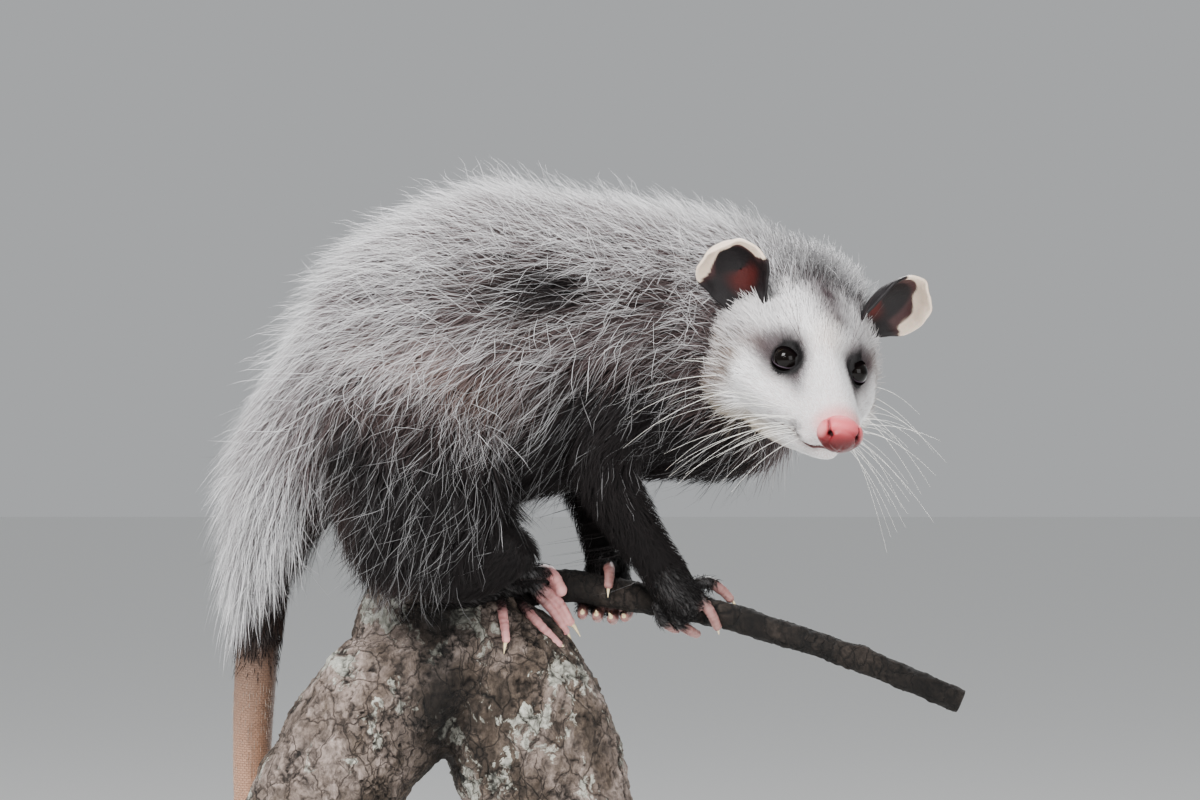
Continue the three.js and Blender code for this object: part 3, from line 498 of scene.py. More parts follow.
shapes = [t.mesh(40) for t in (trunk, *haunches, *arms, *shanks)]
shapes += [in_world(skull.mesh(48)), in_world(jaw.mesh(32)), Tube(TAIL[:2], 8).mesh(20)]
for s, _ in SIDES:
    whisker_pad = ((28, s * 6.5, -19), (11, 6.4, 5.4))
    cheek = ((-30, s * 22, -22), (19, 12, 13))
    brow = ((-5, s * 14, 6.5), (8, 4.5, 3.6))
    socket = (EYE_AT * (1, s, 1) + (-1.5, -s * 1.2, 0), (8.2, 7, 7.6))
    shapes += [in_world(ellipsoid(*swell)) for swell in (whisker_pad, cheek, brow, socket)]
skin_mesh = remeshed(shapes, SKIN_VOXEL, 6)
local = to_head(read(skin_mesh)[0])

# The skin lies close round each eye, and in the opening of the lids, in degrees, it sinks behind the eye
OPENING, SUNK, ROUND_EYE = 56, 4.6, 6.5
for s, _ in SIDES:
    off = local - EYE_AT * (1, s, 1)
    far = np.maximum(np.linalg.norm(off, axis=1), 1e-6)
    turn = np.degrees(np.arccos(np.clip((off @ (EYE_FACES * (1, s, 1))) / far, -1, 1)))
    wanted = np.where(turn < OPENING, SUNK, ROUND_EYE)
    pull = (1 - smooth(8.5, 13, far)) * (1 - smooth(78, 100, turn))
    local = local + off / far[:, None] * ((wanted - far) * pull)[:, None]
p = to_world(local)
moved(skin_mesh, p)
n = read(skin_mesh)[1]

# What each point of the skin belongs to, by how near it lies to each part
HEAD_LEAD, SHARPNESS = 0.06, 9
parts = {"trunk": trunk, "haunch_right": haunches[0], "haunch_left": haunches[1], "arm_right": arms[0],
         "arm_left": arms[1], "shank_right": shanks[0], "shank_left": shanks[1]}
found = {name: tube.locate(p) for name, tube in parts.items()}
found["head"] = skull.locate(to_head(p))
names = list(found)
shares = np.stack([found[k][0] for k in names], axis=1)
shares[:, names.index("head")] -= HEAD_LEAD
weight = np.exp(-SHARPNESS * (shares - shares.min(1, keepdims=True)))
weight /= weight.sum(1, keepdims=True)


def share_of(*wanted):
    return sum(weight[:, names.index(k)] for k in wanted)


on_head = share_of("head")
on_haunch = share_of("haunch_right", "haunch_left")
on_arm = share_of("arm_right", "arm_left")
on_shank = share_of("shank_right", "shank_left")
on_trunk = share_of("trunk")


def near_path(points, spots):
    """How far each point lies from a path through spots, laid onto the nearest points, and that path."""
    spots = np.array(spots, float)
    steps = np.linspace(0, 1, 9)[:, None]
    path = np.vstack([a + (b - a) * steps for a, b in zip(spots, spots[1:])])
    path = np.array([points[((points - q) ** 2).sum(1).argmin()] for q in path])
    return np.sqrt(((points[:, None] - path[None]) ** 2).sum(-1)).min(1), path


# The line of the mouth
MOUTH = [(43, 0, -23), (39, 5, -23.4), (32, 8.5, -24.4), (23, 11, -26), (13, 14.5, -28), (3, 18.5, -30)]
MOUTH_DEPTH, MOUTH_WIDTH = 0.9, 1.1
mouth_gap = np.full(len(p), 99.0)
mouth_lines = {}
around_mouth = np.where((local[:, 0] > -4) & (local[:, 2] < -14))[0]
for s, side in SIDES:
    gap, mouth_lines[side] = near_path(local[around_mouth], [(a, s * b, c) for a, b, c in MOUTH])
    mouth_gap[around_mouth] = np.minimum(mouth_gap[around_mouth], gap)
p = p - n * (MOUTH_DEPTH * np.exp(-(mouth_gap / MOUTH_WIDTH) ** 2))[:, None]
moved(skin_mesh, p)
x, _, z = p.T

# The lie of the coat
slope = 14 + 50 * smooth(395, 300, z) * (1 - 0.65 * smooth(0, 60, x)) + 36 * smooth(-30, -95, x)
slope = np.radians(np.clip(slope, 0, 82))
lie = on_trunk[:, None] * np.stack([-np.cos(slope), np.zeros(len(p)), -np.sin(slope)], axis=1)
rump = smooth(-60, -95, x) * on_trunk
lie += rump[:, None] * -trunk.along[found["trunk"][3]]
lie += on_haunch[:, None] * unit(np.array((-0.42, 0, -1.0)))
for k, tube in parts.items():
    if k.startswith(("arm", "shank")):
        lie += share_of(k)[:, None] * tube.along[found[k][3]]
from_nose = unit((local - np.array((49, 0, -15))) * (1, 1.15, 1.0))
lie += on_head[:, None] * (from_nose @ HEAD_TURN.T) * 1.2
lie = along_skin(lie, n)
swirl = (0.42 * rough(p, 34, 11) + 0.3 * rough(p, 12, 12)) * (1 - 0.75 * on_head) * (1 - 0.5 * rump)
lie = unit(lie * np.cos(swirl)[:, None] + np.cross(n, lie) * np.sin(swirl)[:, None])

# The depth of the coat over the skin
depth = np.zeros(len(p))
for k in names:
    tube = skull if k == "head" else parts[k]
    depth += share_of(k) * tube.coat[found[k][3]]
depth *= 1 - 0.46 * smooth(-40, -90, x)
depth = np.maximum(depth, 10 * on_head * smooth(-40, -52, local[:, 0]))

# Markings: how dark, tan, taupe and pale the coat is. Each mark is a place, a size and a strength.
DARK = [
    ((26, 376), (38, 13), 0.9), ((74, 358), (16, 20), 0.4), ((50, 318), (34, 24), 1.1),
    ((64, 298), (32, 32), 1.1), ((22, 290), (30, 24), 1.0), ((4, 266), (28, 22), 1.1),
    ((80, 306), (20, 14), 0.5), ((92, 292), (26, 22), 0.9), ((-26, 300), (40, 22), 0.8),
    ((-36, 272), (46, 22), 1.0), ((-60, 312), (14, 24), 0.6), ((34, 346), (20, 10), 0.3),
    ((-30, 326), (30, 12), 0.35), ((-84, 262), (12, 16), 0.35),
]
TAN = [
    ((-4, 338), (20, 10), 0.9), ((-50, 326), (15, 9), 0.9), ((23, 315), (10, 17), 0.7),
    ((88, 320), (12, 12), 0.8), ((-66, 270), (10, 12), 0.5), ((20, 362), (12, 8), 0.4),
]
TAUPE = [((-22, 349), (17, 9), 1.0), ((-48, 352), (14, 7), 0.5)]
patchy = rough(p, 17, 8)
fine_patchy = rough(p, 7, 9)
xz = p[:, [0, 2]] + 4 * np.stack([patchy, fine_patchy], axis=1)
dark, tan, taupe = (limited(sum(a * blob(xz, c, r) for c, r, a in marks)) for marks in (DARK, TAN, TAUPE))
dark = limited(dark + on_arm * smooth(356, 322, z) + on_shank)
pale = np.clip(0.72 - 0.75 * dark - 0.4 * tan + 0.4 * smooth(372, 400, z) + 0.3 * patchy, 0.05, 1)
pale *= 1 - 0.75 * on_haunch * smooth(284, 262, z)
pale = np.maximum(pale, smooth(-66, -92, x - 0.3 * (z - 300)) * smooth(236, 262, z))
root_side = smooth(-4, 5, x + 80 - 0.58 * (z - 288) + 2 * fine_patchy)
root_side = root_side * smooth(310, 288, z) * smooth(-50, -64, x)
pale *= 1 - 0.85 * root_side

# The fur under the guard hairs
BROWN = tint(0.19, 0.145, 0.14)
BLACK = tint(0.06, 0.042, 0.042)
WHITE = tint(0.985, 0.98, 0.985)
under = painted(
    tint(0.325, 0.275, 0.275) * (1 + 0.35 * rough(p, 11, 14))[:, None],
    (tint(0.41, 0.36, 0.36), limited(smooth(-60, -112, x) * 0.8 + 0.5 * smooth(380, 408, z) * on_trunk)),
    (tint(0.50, 0.43, 0.415), taupe),
    (tint(0.31, 0.23, 0.195), tan),
    (BROWN, limited(dark * 1.6)),
    (BLACK, smooth(0.45, 0.95, dark)),
    (BROWN * 0.7, root_side),
) * (1 + 0.16 * fine_patchy)[:, None]

# The face
SMUDGE = tint(0.26, 0.215, 0.225)
ASH = tint(0.34, 0.30, 0.30)
GREY = tint(0.26, 0.23, 0.24)
PINK = tint(0.96, 0.70, 0.70)
lx, ly, lz = local.T
pair = np.stack([lx, np.abs(ly), lz], axis=1)
ay = pair[:, 1]
crown = smooth(-27, -42, lx + 3 * patchy) * smooth(4, 15, lz)
down_brow = (lx + 40) / 33
streak = np.exp(-((ly - 2 - 3 * down_brow) / np.maximum(13.5 - 7.5 * down_brow, 4.6)) ** 2)
streak = streak * (1 - smooth(0.8, 1.2, down_brow)) * smooth(6, 13, lz)
off_eye = pair - (EYE_AT + EYE_FACES * 4)
from_eye = np.linalg.norm(off_eye, axis=1)
round_eye = np.linalg.norm((off_eye - (1.1, -0.4, 1.3)) * (0.9, 1, 1.05), axis=1)
eye_ring = np.linalg.norm((off_eye - (-2.0, 0, 1.5)) * (0.8, 1, 1.1), axis=1)
behind = smooth(-10, -20, lx + 3 * patchy) * smooth(0, -9, lz + 3 * fine_patchy)
behind = behind * smooth(24, 31, ay - 0.3 * lx)
before_eye = 0.95 * blob(pair, (8.5, 13, -3), (6.5, 5, 5.5)) + 0.5 * blob(pair, (16, 11.5, -7), (7, 4, 4))
chin = smooth(-24, -34, lz) * smooth(20, -8, lx) * smooth(-34, -20, lx)
dots = ((27, 12.9, -17), (24, 13.3, -19.5), (29, 12.4, -20.5),
        (21, 14, -17), (31, 12.4, -17.5), (26, 12.8, -22))
pink_from = np.where(lz > -13, 41.5, 42.0)
face = painted(
    tint(0.985, 0.975, 0.975),
    (GREY, limited(crown * 0.96)),
    (GREY, 0.4 * blob(pair, (-24, 19, 10), (13, 11, 8))),
    (SMUDGE, limited(0.93 * streak + 0.2 * streak * fine_patchy)),
    (tint(0.86, 0.80, 0.74), 0.5 * blob(local, (-2, 0, 10), (9, 6, 8))),
    (tint(0.40, 0.33, 0.32), blob(pair, (-12, 22, -1), (10, 7, 5))),
    (tint(0.42, 0.36, 0.35), 0.85 * blob(pair, (-24, 28, -2), (10, 8, 6))),
    (SMUDGE, np.clip(before_eye, 0, 0.9)),
    (SMUDGE, 0.93 * (1 - smooth(6.5, 15.5, eye_ring))),
    (tint(0.05, 0.035, 0.04), 1 - smooth(6.4, 9.6, round_eye)),
    (tint(0.42, 0.345, 0.29), 0.88 * behind),
    # Painted shade under the jaw and down the throat
    (tint(0.16, 0.13, 0.105), 0.9 * smooth(-24, -36, lz) * smooth(-8, -20, lx)),
    (ASH, 0.8 * smooth(-28, -42, lx) * smooth(20, 30, ay)),
    (tint(0.70, 0.64, 0.54), limited(chin) * 0.8),
    (tint(0.66, 0.58, 0.53), 0.5 * blob(pair, (24, 8, -24), (8, 5, 3.5))),
    *((SMUDGE, 0.7 * blob(pair, dot, 1.2)) for dot in dots),
    (ASH, limited(0.5 + 0.9 * fine_patchy) * blob(pair, (30, 12, -21), (9, 5, 5))),
    (PINK, 0.95 * smooth(pink_from - 8, pink_from, lx) * smooth(-18, -10, lz)),
    (tint(0.30, 0.17, 0.16), 0.9 * np.exp(-(mouth_gap / 1.3) ** 2)),
)
cheek_edge = -43 + 17 * np.exp(-((lz + 25) / 9) ** 2) * smooth(12, 22, ay)
head_share = smooth(-7, 9, lx + 3.5 * fine_patchy + 2 * patchy - cheek_edge)
head_share = smooth(0.25, 0.7, on_head + 0.12 * patchy) * head_share
mixed = blend(under, face, head_share)

skin_tint = painted(
    mixed * 0.7,
    (tint(0.90, 0.74, 0.72), 0.3 * smooth(0.4, 0.8, on_head) * smooth(0.3, 0.8, mixed.mean(axis=1))),
    (tint(0.03, 0.022, 0.025), 1 - smooth(6.6, 8.8, np.minimum(round_eye, from_eye))),
    (PINK, smooth(pink_from - 2, pink_from + 1, lx) * on_head),
)
skin_look = coloured("skin", 0.75, bump=0.4, scale=700, specular=0.25, mottle=0.2)
skin = finished("skin", skin_mesh, skin_look, skin_tint)
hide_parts("head", "jaw", "neck", "chest", "loin", "rump", "haunch_left", "haunch_right",
            "upper_arm_right", "forearm_right", "upper_arm_left", "forearm_left", "shank_right",
            "shank_left", "tail_base")

# Where each point lies on the unwrap of the skin: a sheet for each part, along by round
SHEETS = {
    "trunk": (0, 0, 0.6, 0.5), "head": (0.6, 0, 0.4, 0.5),
    "haunch_right": (0, 0.5, 0.25, 0.3), "haunch_left": (0.25, 0.5, 0.25, 0.3),
    "arm_right": (0.5, 0.5, 0.15, 0.3), "arm_left": (0.65, 0.5, 0.15, 0.3),
    "shank_right": (0.8, 0.5, 0.1, 0.15), "shank_left": (0.9, 0.5, 0.1, 0.15),
}
MARGIN = 0.03
unwrap = np.zeros((len(p), 2))
main = shares.argmin(1)
for i, k in enumerate(names):
    u0, v0, du, dv = SHEETS[k]
    own = main == i
    within = np.stack([found[k][1][own], found[k][2][own] / (2 * math.pi) + 0.5], axis=1)
    unwrap[own] = (u0, v0) + (MARGIN + (1 - 2 * MARGIN) * within) * (du, dv)

# Hair

skin_tree = BVHTree.FromPolygons([Vector(q) for q in p], [tuple(f.vertices) for f in skin_mesh.polygons])
skin_mesh.calc_loop_triangles()
corners = np.empty(len(skin_mesh.loop_triangles) * 3, np.int32)
skin_mesh.loop_triangles.foreach_get("vertices", corners)
corners = corners.reshape(-1, 3)
edges = [p[corners[:, k]] - p[corners[:, 0]] for k in (1, 2)]
areas = np.linalg.norm(np.cross(*edges), axis=1) / 2


class Spots:
    """Places where hairs stand, the normals there and where they lie on the unwrap."""

    def __init__(self, at, normal, sheet):
        self.at, self.normal, self.sheet = at, normal, sheet
        self.count = len(at)

    def draw(self, low, high):
        return low + (high - low) * draws.random(self.count)

    def spread(self, width):
        return draws.normal(0, width, self.count)

    def turned(self, ways, width):
        """Ways along the skin, each turned a little about the normal."""
        angle = self.spread(width)
        return unit(ways * np.cos(angle)[:, None] + np.cross(self.normal, ways) * np.sin(angle)[:, None])


class Roots(Spots):
    """Roots drawn evenly over the skin, as densely as a weight at each point asks."""

    def __init__(self, density, count):
        total = np.cumsum(areas * density[corners].mean(1))
        at = (np.arange(count) + draws.random(count)) / count * total[-1]
        self.tri = corners[np.minimum(np.searchsorted(total, at), len(corners) - 1)]
        a, b = draws.random(count), draws.random(count)
        over = a + b > 1
        a[over], b[over] = 1 - a[over], 1 - b[over]
        self.mixing = np.stack([1 - a - b, a, b], axis=1)
        super().__init__(self.of(p), unit(self.of(n)), unwrap[self.tri[:, 0]])
        self.lie = unit(self.of(lie))
        self.depth = self.of(depth)

    def of(self, field):
        if field.ndim == 1:
            return (field[self.tri] * self.mixing).sum(1)
        return (field[self.tri] * self.mixing[..., None]).sum(1)


def followed(points, normal, wanted, share):
    """Points pulled part of the way to a height over the skin, where it still faces as at the root."""
    out = points.copy()
    for i, q in enumerate(points):
        spot, faces_to, _, gap = skin_tree.find_nearest(Vector(q))
        if gap < FOLLOW_REACH and faces_to.dot(Vector(normal[i])) > 0.4:
            out[i] = q + (np.array(spot) + np.array(faces_to) * wanted[i] - q) * share
    return out


def blade(steps):
    """A hair's triangles, and how far along and round it each of its points lies."""
    tris = [(0, 2, 1)]
    for j in range(steps):
        for k in range(3):
            a, b = 3 * j + k, 3 * j + (k + 1) % 3
            tris += [(a, b, b + 3), (a, b + 3, a + 3)] if j < steps - 1 else [(a, b, 3 * steps)]
    along = np.array([j / steps for j in range(steps) for _ in range(3)] + [1.0])
    return np.array(tris), along, np.array([k / 3 for k in range(3)] * steps + [0.5])


def gathered(path, at, clump, cell_size):
    """Hairs drawn together at their tips, within cells of the coat."""
    cell = np.floor(at / cell_size).astype(int)
    _, group = np.unique(np.bitwise_xor.reduce(cell * CELL_KEYS, axis=1), return_inverse=True)
    heads = np.zeros((group.max() + 1, 3))
    np.add.at(heads, group, path[:, -1])
    heads /= np.bincount(group)[:, None]
    pull = (heads[group] - path[:, -1]) * (clump * draws.random(len(at)))[:, None]
    last = path.shape[1] - 1
    for j in range(last + 1):
        path[:, j] += pull * (j / last) ** 1.5


def hairs(name, spots, ways, length, height, width, low, high, look, steps=3, bend=0.0, wave=0.0,
          sag=0.0, clump=0.0, cell_size=7.0, curve=1.7, soft=0.0, keep=None, follow=0.0):
    """Tapered hairs as closed three-sided blades, in as many pieces as the limit on triangles asks.
    height is how far each tip stands from the skin, low and high the colours of root and tip."""
    at, normal, count = spots.at, spots.normal, spots.count
    side = unit(np.cross(normal, ways))
    run = np.sqrt(np.maximum(length ** 2 - height ** 2, (0.3 * length) ** 2))
    width = np.broadcast_to(width, count)
    low, high = (np.broadcast_to(colour, (count, 3)) for colour in (low, high))
    path = []
    for j in range(steps + 1):
        s = j / steps
        rise = height * (1 - (1 - s) ** curve)
        sway = np.broadcast_to(bend * s * s + wave * math.sin(2 * math.pi * s), count)
        q = at + ways * (run * s)[:, None] + normal * rise[:, None] + side * sway[:, None]
        q[:, 2] -= sag * length * s * s
        if follow and j:
            q = followed(q, normal, rise, follow)
        path.append(q)
    path = np.stack(path, axis=1)
    if follow:
        path[:, 1:-1] = (path[:, :-2] + 2 * path[:, 1:-1] + path[:, 2:]) / 4
    if clump:
        gathered(path, at, clump, cell_size)
    ways_now = unit(np.gradient(path, axis=1))
    side_now = unit(np.cross(np.broadcast_to(normal[:, None], ways_now.shape), ways_now))
    up_now = np.cross(ways_now, side_now)
    rings, turns = [], []
    for j in range(steps):
        w = (width * TAPER[steps][j])[:, None]
        turns += [-side_now[:, j], side_now[:, j], up_now[:, j]]
        rings += [path[:, j] + turn * w * wide for turn, wide in zip(turns[-3:], (1, 1, RIDGE))]
    turns.append(up_now[:, -1])
    shading = unit(normal[:, None] + (1 - soft) * np.stack(turns, axis=1))
    points = np.stack(rings + [path[:, -1]], axis=1)
    tris, along, around = blade(steps)
    each = 3 * steps + 1
    most = PIECE_LIMIT // len(tris)
    order = np.argsort(at[:, 0], kind="stable")
    if keep is not None:
        order = order[keep[order]]
    for start in range(0, len(order), most):
        part = order[start:start + most]
        m = len(part)
        mesh = bpy.data.meshes.new(name)
        mesh.vertices.add(m * each)
        mesh.vertices.foreach_set("co", (points[part] * MM).astype(np.float32).ravel())
        index = (tris[None] + (np.arange(m) * each)[:, None, None]).reshape(-1)
        mesh.loops.add(len(index))
        mesh.loops.foreach_set("vertex_index", index.astype(np.int32))
        mesh.polygons.add(len(index) // 3)
        mesh.polygons.foreach_set("loop_start", np.arange(0, len(index), 3, dtype=np.int32))
        mesh.polygons.foreach_set("loop_total", np.full(len(index) // 3, 3, np.int32))
        mesh.update()
        share = along[None, :, None] ** 0.8
        colours = low[part][:, None] * (1 - share) + high[part][:, None] * share
        uv = spots.sheet[part][:, None] + PATCH * np.stack([around, along], axis=1)[None]
        layer = mesh.uv_layers.new(name="OFBake")
        layer.data.foreach_set("uv", uv.astype(np.float32).reshape(-1, 2)[index].ravel())
        piece = name if len(order) <= most else f"{name}_{start // most + 1}"
        finished(piece, mesh, look, colours.reshape(-1, 3))
        if soft:
            mesh.normals_split_custom_set_from_vertices(shading[part].reshape(-1, 3))


EAR_MIDDLES = [to_world(EAR_AT * (1, s, 1) + EAR_TO_TIP * (1, s, 1) * 2) for s, _ in SIDES]


def clear_of_ears(spots, ways, length):
    """Which hairs stay out of the cups of the ears."""
    kept = np.ones(spots.count, bool)
    for middle in EAR_MIDDLES:
        for share in (0.25, 0.5, 0.75, 1.0):
            gap = np.linalg.norm(spots.at + ways * (length * share)[:, None] - middle, axis=1)
            kept &= gap > EAR_CLEARANCE
    return kept


guard_look = coloured("guard_hair", 0.5, specular=0.35)
under_look = coloured("under_fur", 0.75, specular=0.2)
face_look = coloured("face_fur", 0.65, specular=0.25)

bare = smooth(5.9, 6.7, from_eye)
bare *= 1 - smooth(pink_from - 1, pink_from + 3, lx) * on_head
bare *= smooth(0.5, 1.5, mouth_gap)
body = (1 - head_share) * bare
legs = limited(on_arm * smooth(306, 286, z) + on_shank)
belly = smooth(-0.55, -0.85, n[:, 2]) * on_trunk
under_tail = root_side * smooth(284, 262, z)
upper = body * (1 - 0.8 * belly)

# Fur under the guard hairs
r = Roots(body * (1 - 0.5 * legs) * (1 - 0.3 * belly), UNDER_HAIRS)
length = np.maximum(r.depth * r.draw(1.0, 1.7), 5)
length = length * (1 - 0.4 * r.of(root_side) * smooth(284, 262, r.at[:, 2]))
ways = r.turned(r.lie, 0.3)
shade = r.of(under) * r.draw(0.7, 1.3)[:, None]
hairs("coat_under", r, ways, length, np.minimum(r.depth * r.draw(0.4, 0.68), length * 0.8),
      np.clip(length * 0.016, 0.12, 0.3), shade * 0.62, np.minimum(shade * 1.15, 1), under_look,
      steps=2, clump=0.6, cell_size=5.0, bend=r.spread(2.2), soft=0.55, follow=0.8)

# Guard hairs of the coat's own colour
reach = 2.0 * depth * (1 + 0.5 * smooth(-50, -90, x)) * (1 - 0.45 * under_tail)
r = Roots(upper * limited(0.35 + 0.65 * pale) * (1 - legs), MID_HAIRS)
length = r.of(reach) * r.draw(0.7, 1.05)
ways = r.turned(r.lie, 0.3)
shade = r.of(under)
tips = shade + (WHITE * 0.75 - shade) * (r.draw(0.05, 0.6) * r.of(pale))[:, None]
hairs("coat_mid", r, ways, np.maximum(length, 8), np.minimum(r.depth * r.draw(0.6, 0.9), length * 0.8),
      r.draw(0.12, 0.2), shade * 0.8, tips, under_look, clump=0.5, cell_size=8.0,
      bend=r.spread(4), wave=r.spread(1.2), sag=0.04, soft=0.3, keep=clear_of_ears(r, ways, length),
      follow=0.8)

# White guard hairs over them
r = Roots(upper * (0.2 + 0.8 * pale) * (1 - 0.96 * legs) * (1 - 0.6 * on_arm), GUARD_HAIRS)
nape = r.of(smooth(50, 95, x) * smooth(365, 395, z))
length = np.maximum(r.of(reach) * r.draw(0.75, 1.3), 12)
height = np.minimum(r.depth * r.draw(0.7, 1.15) * (1 + 0.3 * nape), length * 0.85)
ways = r.turned(r.lie, 0.36)
light = (0.2 + 0.8 * r.draw(0, 1) ** 0.7) * (0.3 + 0.7 * r.of(pale))
tips = WHITE * (light * (1 - 0.16 * smooth(-66, -92, r.at[:, 0])))[:, None]
hairs("coat_guard", r, ways, length, height, r.draw(0.07, 0.125) * (0.75 + 0.25 * r.of(pale)),
      r.of(under) * 0.6 + tips * 0.35, tips, guard_look, steps=4, clump=0.5, cell_size=11.0,
      bend=r.spread(7), wave=r.spread(2.0), sag=0.05, soft=0.2, keep=clear_of_ears(r, ways, length),
      follow=0.75)

# A few loose hairs that stand out
density = body * smooth(0.1, 0.6, pale) * (1 - legs) * smooth(-0.2, 0.5, n[:, 2]) * smooth(-95, -60, x)
r = Roots(density, LOOSE_HAIRS)
length = r.of(reach) * r.draw(0.7, 1.1)
ways = r.turned(r.lie, 0.5)
tips = WHITE * r.draw(0.7, 1.0)[:, None]
hairs("coat_loose", r, ways, length, length * r.draw(0.5, 0.85), r.draw(0.08, 0.12), tips * 0.6, tips,
      guard_look, steps=4, bend=r.spread(6), wave=r.spread(1.5), sag=0.08, curve=1.3,
      keep=clear_of_ears(r, ways, length))

# The short dark coat of the legs
r = Roots(limited(on_arm * smooth(350, 325, z) + on_shank) * body, LEG_HAIRS)
length = np.maximum(r.depth * r.draw(1.0, 1.8), 4.5) + 2
hairs("coat_legs", r, r.turned(r.lie, 0.26), length, np.minimum(r.depth * 0.55 + 1.2, length * 0.6),
      r.draw(0.12, 0.2), BLACK * 0.7, BLACK * r.draw(0.6, 1.9)[:, None], under_look,
      steps=2, clump=0.35, cell_size=4.0, soft=0.5, bend=r.spread(1.2))


# The face's short coat, shortest towards the nose
def from_eyes(at, ways, normal):
    """Ways of the coat turned outward round each eye."""
    for s, _ in SIDES:
        away = at - to_world((EYE_AT + EYE_FACES * 4) * (1, s, 1))
        gap = np.linalg.norm(away, axis=1)
        ways = ways + away / gap[:, None] * (1.8 * (1 - smooth(7, 12, gap)))[:, None]
    return along_skin(ways, normal)


back = smooth(20, -48, lx)
short = 2.0 + 6.5 * back + 3 * smooth(-16, -32, lz) * smooth(24, -14, lx)
short += 3 * smooth(-24, -40, lx) * smooth(6, -6, lz)
short *= 0.5 + 0.5 * smooth(6, 14, from_eye)
short *= 1 - 0.5 * smooth(24, 36, lx)
short += 4 * smooth(14, 2, lx - cheek_edge) * smooth(18, 28, ay)
r = Roots(head_share * bare * (1.6 - 0.8 * back), FACE_HAIRS)
length = r.of(short) * r.draw(0.75, 1.35)
shade = r.of(mixed) * r.draw(0.76, 1.06)[:, None]
hairs("coat_face", r, r.turned(from_eyes(r.at, r.lie, r.normal), 0.2), length,
      length * r.draw(0.16, 0.34) * (1 + 0.8 * r.of(crown)), np.clip(length * 0.028, 0.09, 0.22),
      shade * 0.86, np.minimum(shade * 1.06, 1), face_look, steps=2, clump=0.4, cell_size=3.0,
      bend=r.spread(0.8), soft=0.5)

# The longer hairs of the cheek's back edge, swept over the neck
ruff = smooth(-14, -22, lx) * smooth(-50, -40, lx) * smooth(16, 24, ay)
r = Roots(ruff * smooth(14, 4, lz) * smooth(-46, -36, lz) * head_share, RUFF_HAIRS)
length = r.draw(8, 16)
shade = blend(r.of(mixed), WHITE, 0.35) * r.draw(0.7, 1.0)[:, None]
hairs("coat_ruff", r, r.turned(r.lie, 0.25), length, length * r.draw(0.2, 0.45), r.draw(0.09, 0.15),
      shade * 0.9, shade, face_look, clump=0.4, cell_size=4.0, bend=r.spread(1.5), sag=0.1,
      soft=0.3)

# Pale-tipped spikes of the crown and nape
r = Roots(limited(crown * on_head + 0.6 * smooth(60, 95, x) * smooth(372, 392, z) * on_trunk), CROWN_HAIRS)
length = r.draw(11, 19)
tips = WHITE * (r.draw(0.4, 0.85) * (1 - 0.75 * r.of(streak)))[:, None]
ways = r.turned(r.lie, 0.35)
hairs("coat_crown", r, ways, length, length * r.draw(0.45, 0.85), r.draw(0.10, 0.17), GREY * 0.4, tips,
      guard_look, clump=0.4, cell_size=4.0, bend=r.spread(1.6), soft=0.3,
      keep=clear_of_ears(r, ways, length))

# Eyes and lids

look = Look("eye", roughness=0.04, specular=0.13)
flecks = look.node("TexNoise", {"Scale": 1500}).outputs["Fac"]
eye_look = look.finish(look.ramp(flecks, (0, (0.0015, 0.001, 0.001)), (1, (0.004, 0.0028, 0.002))))
lid_look = coloured("lid", 0.85, bump=0.25, scale=1800, specular=0.0)

# Each ring of the lids: degrees out from the opening's edge, radius and tone. The edge is wet and a little
# paler, and a painted highlight along its lower half stands for the shine of the wet rim.
LID_RINGS = ((-6, 5.6, 0.3), (-3, 6.0, 0.4), (0, 6.15, 1.3), (2, 6.3, 0.6), (8, 6.45, 0.5), (16, 6.35, 0.5),
             (24, 5.9, 0.5))
LID_TINT = tint(0.05, 0.034, 0.036)
LID_RIM_HIGHLIGHT = tint(0.50, 0.44, 0.50) * 0.3
CORNEA_RISE, CORNEA_FROM = 0.35, 0.62
circle = np.linspace(0, 2 * math.pi, 72, endpoint=False)
opening = np.radians(37 + 27 * np.abs(np.cos(circle)) ** 3)
for s, side in SIDES:
    centre = EYE_AT * (1, s, 1)
    ahead = EYE_FACES * (1, s, 1)
    across = unit(np.cross((0, 0, 1), ahead)) * s
    up = np.cross(ahead, across) * s
    rim = np.cos(circle)[:, None] * across + np.sin(circle)[:, None] * up
    rings = []
    for turn in np.linspace(0.02, math.pi - 0.02, 28):
        bulge = EYE_RADIUS + CORNEA_RISE * max(0, math.cos(turn) - CORNEA_FROM) / (1 - CORNEA_FROM)
        rings.append(centre + bulge * (math.cos(turn) * ahead + math.sin(turn) * rim))
    v, f = revolve(rings)
    eye = add(f"eyeball_{side}", (to_world(v), facing(f, s)), eye_look)
    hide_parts(f"eye_{side}")
    rings, tones = [], []
    for out, radius, tone in LID_RINGS:
        turn = opening + math.radians(out)
        rings.append(centre + radius * (np.cos(turn)[:, None] * ahead + np.sin(turn)[:, None] * rim))
        # A painted highlight along the lower half of the edge, for the shine of the wet rim
        wet_rim_highlight = np.maximum(0, -np.sin(circle))[:, None] * (out == 0)
        tones.append(LID_TINT * tone + wet_rim_highlight * LID_RIM_HIGHLIGHT)
    v, f = revolve(rings)
    add(f"lids_{side}", (to_world(v), facing(f, s)), lid_look, np.vstack(tones))

# Nose pad and lips

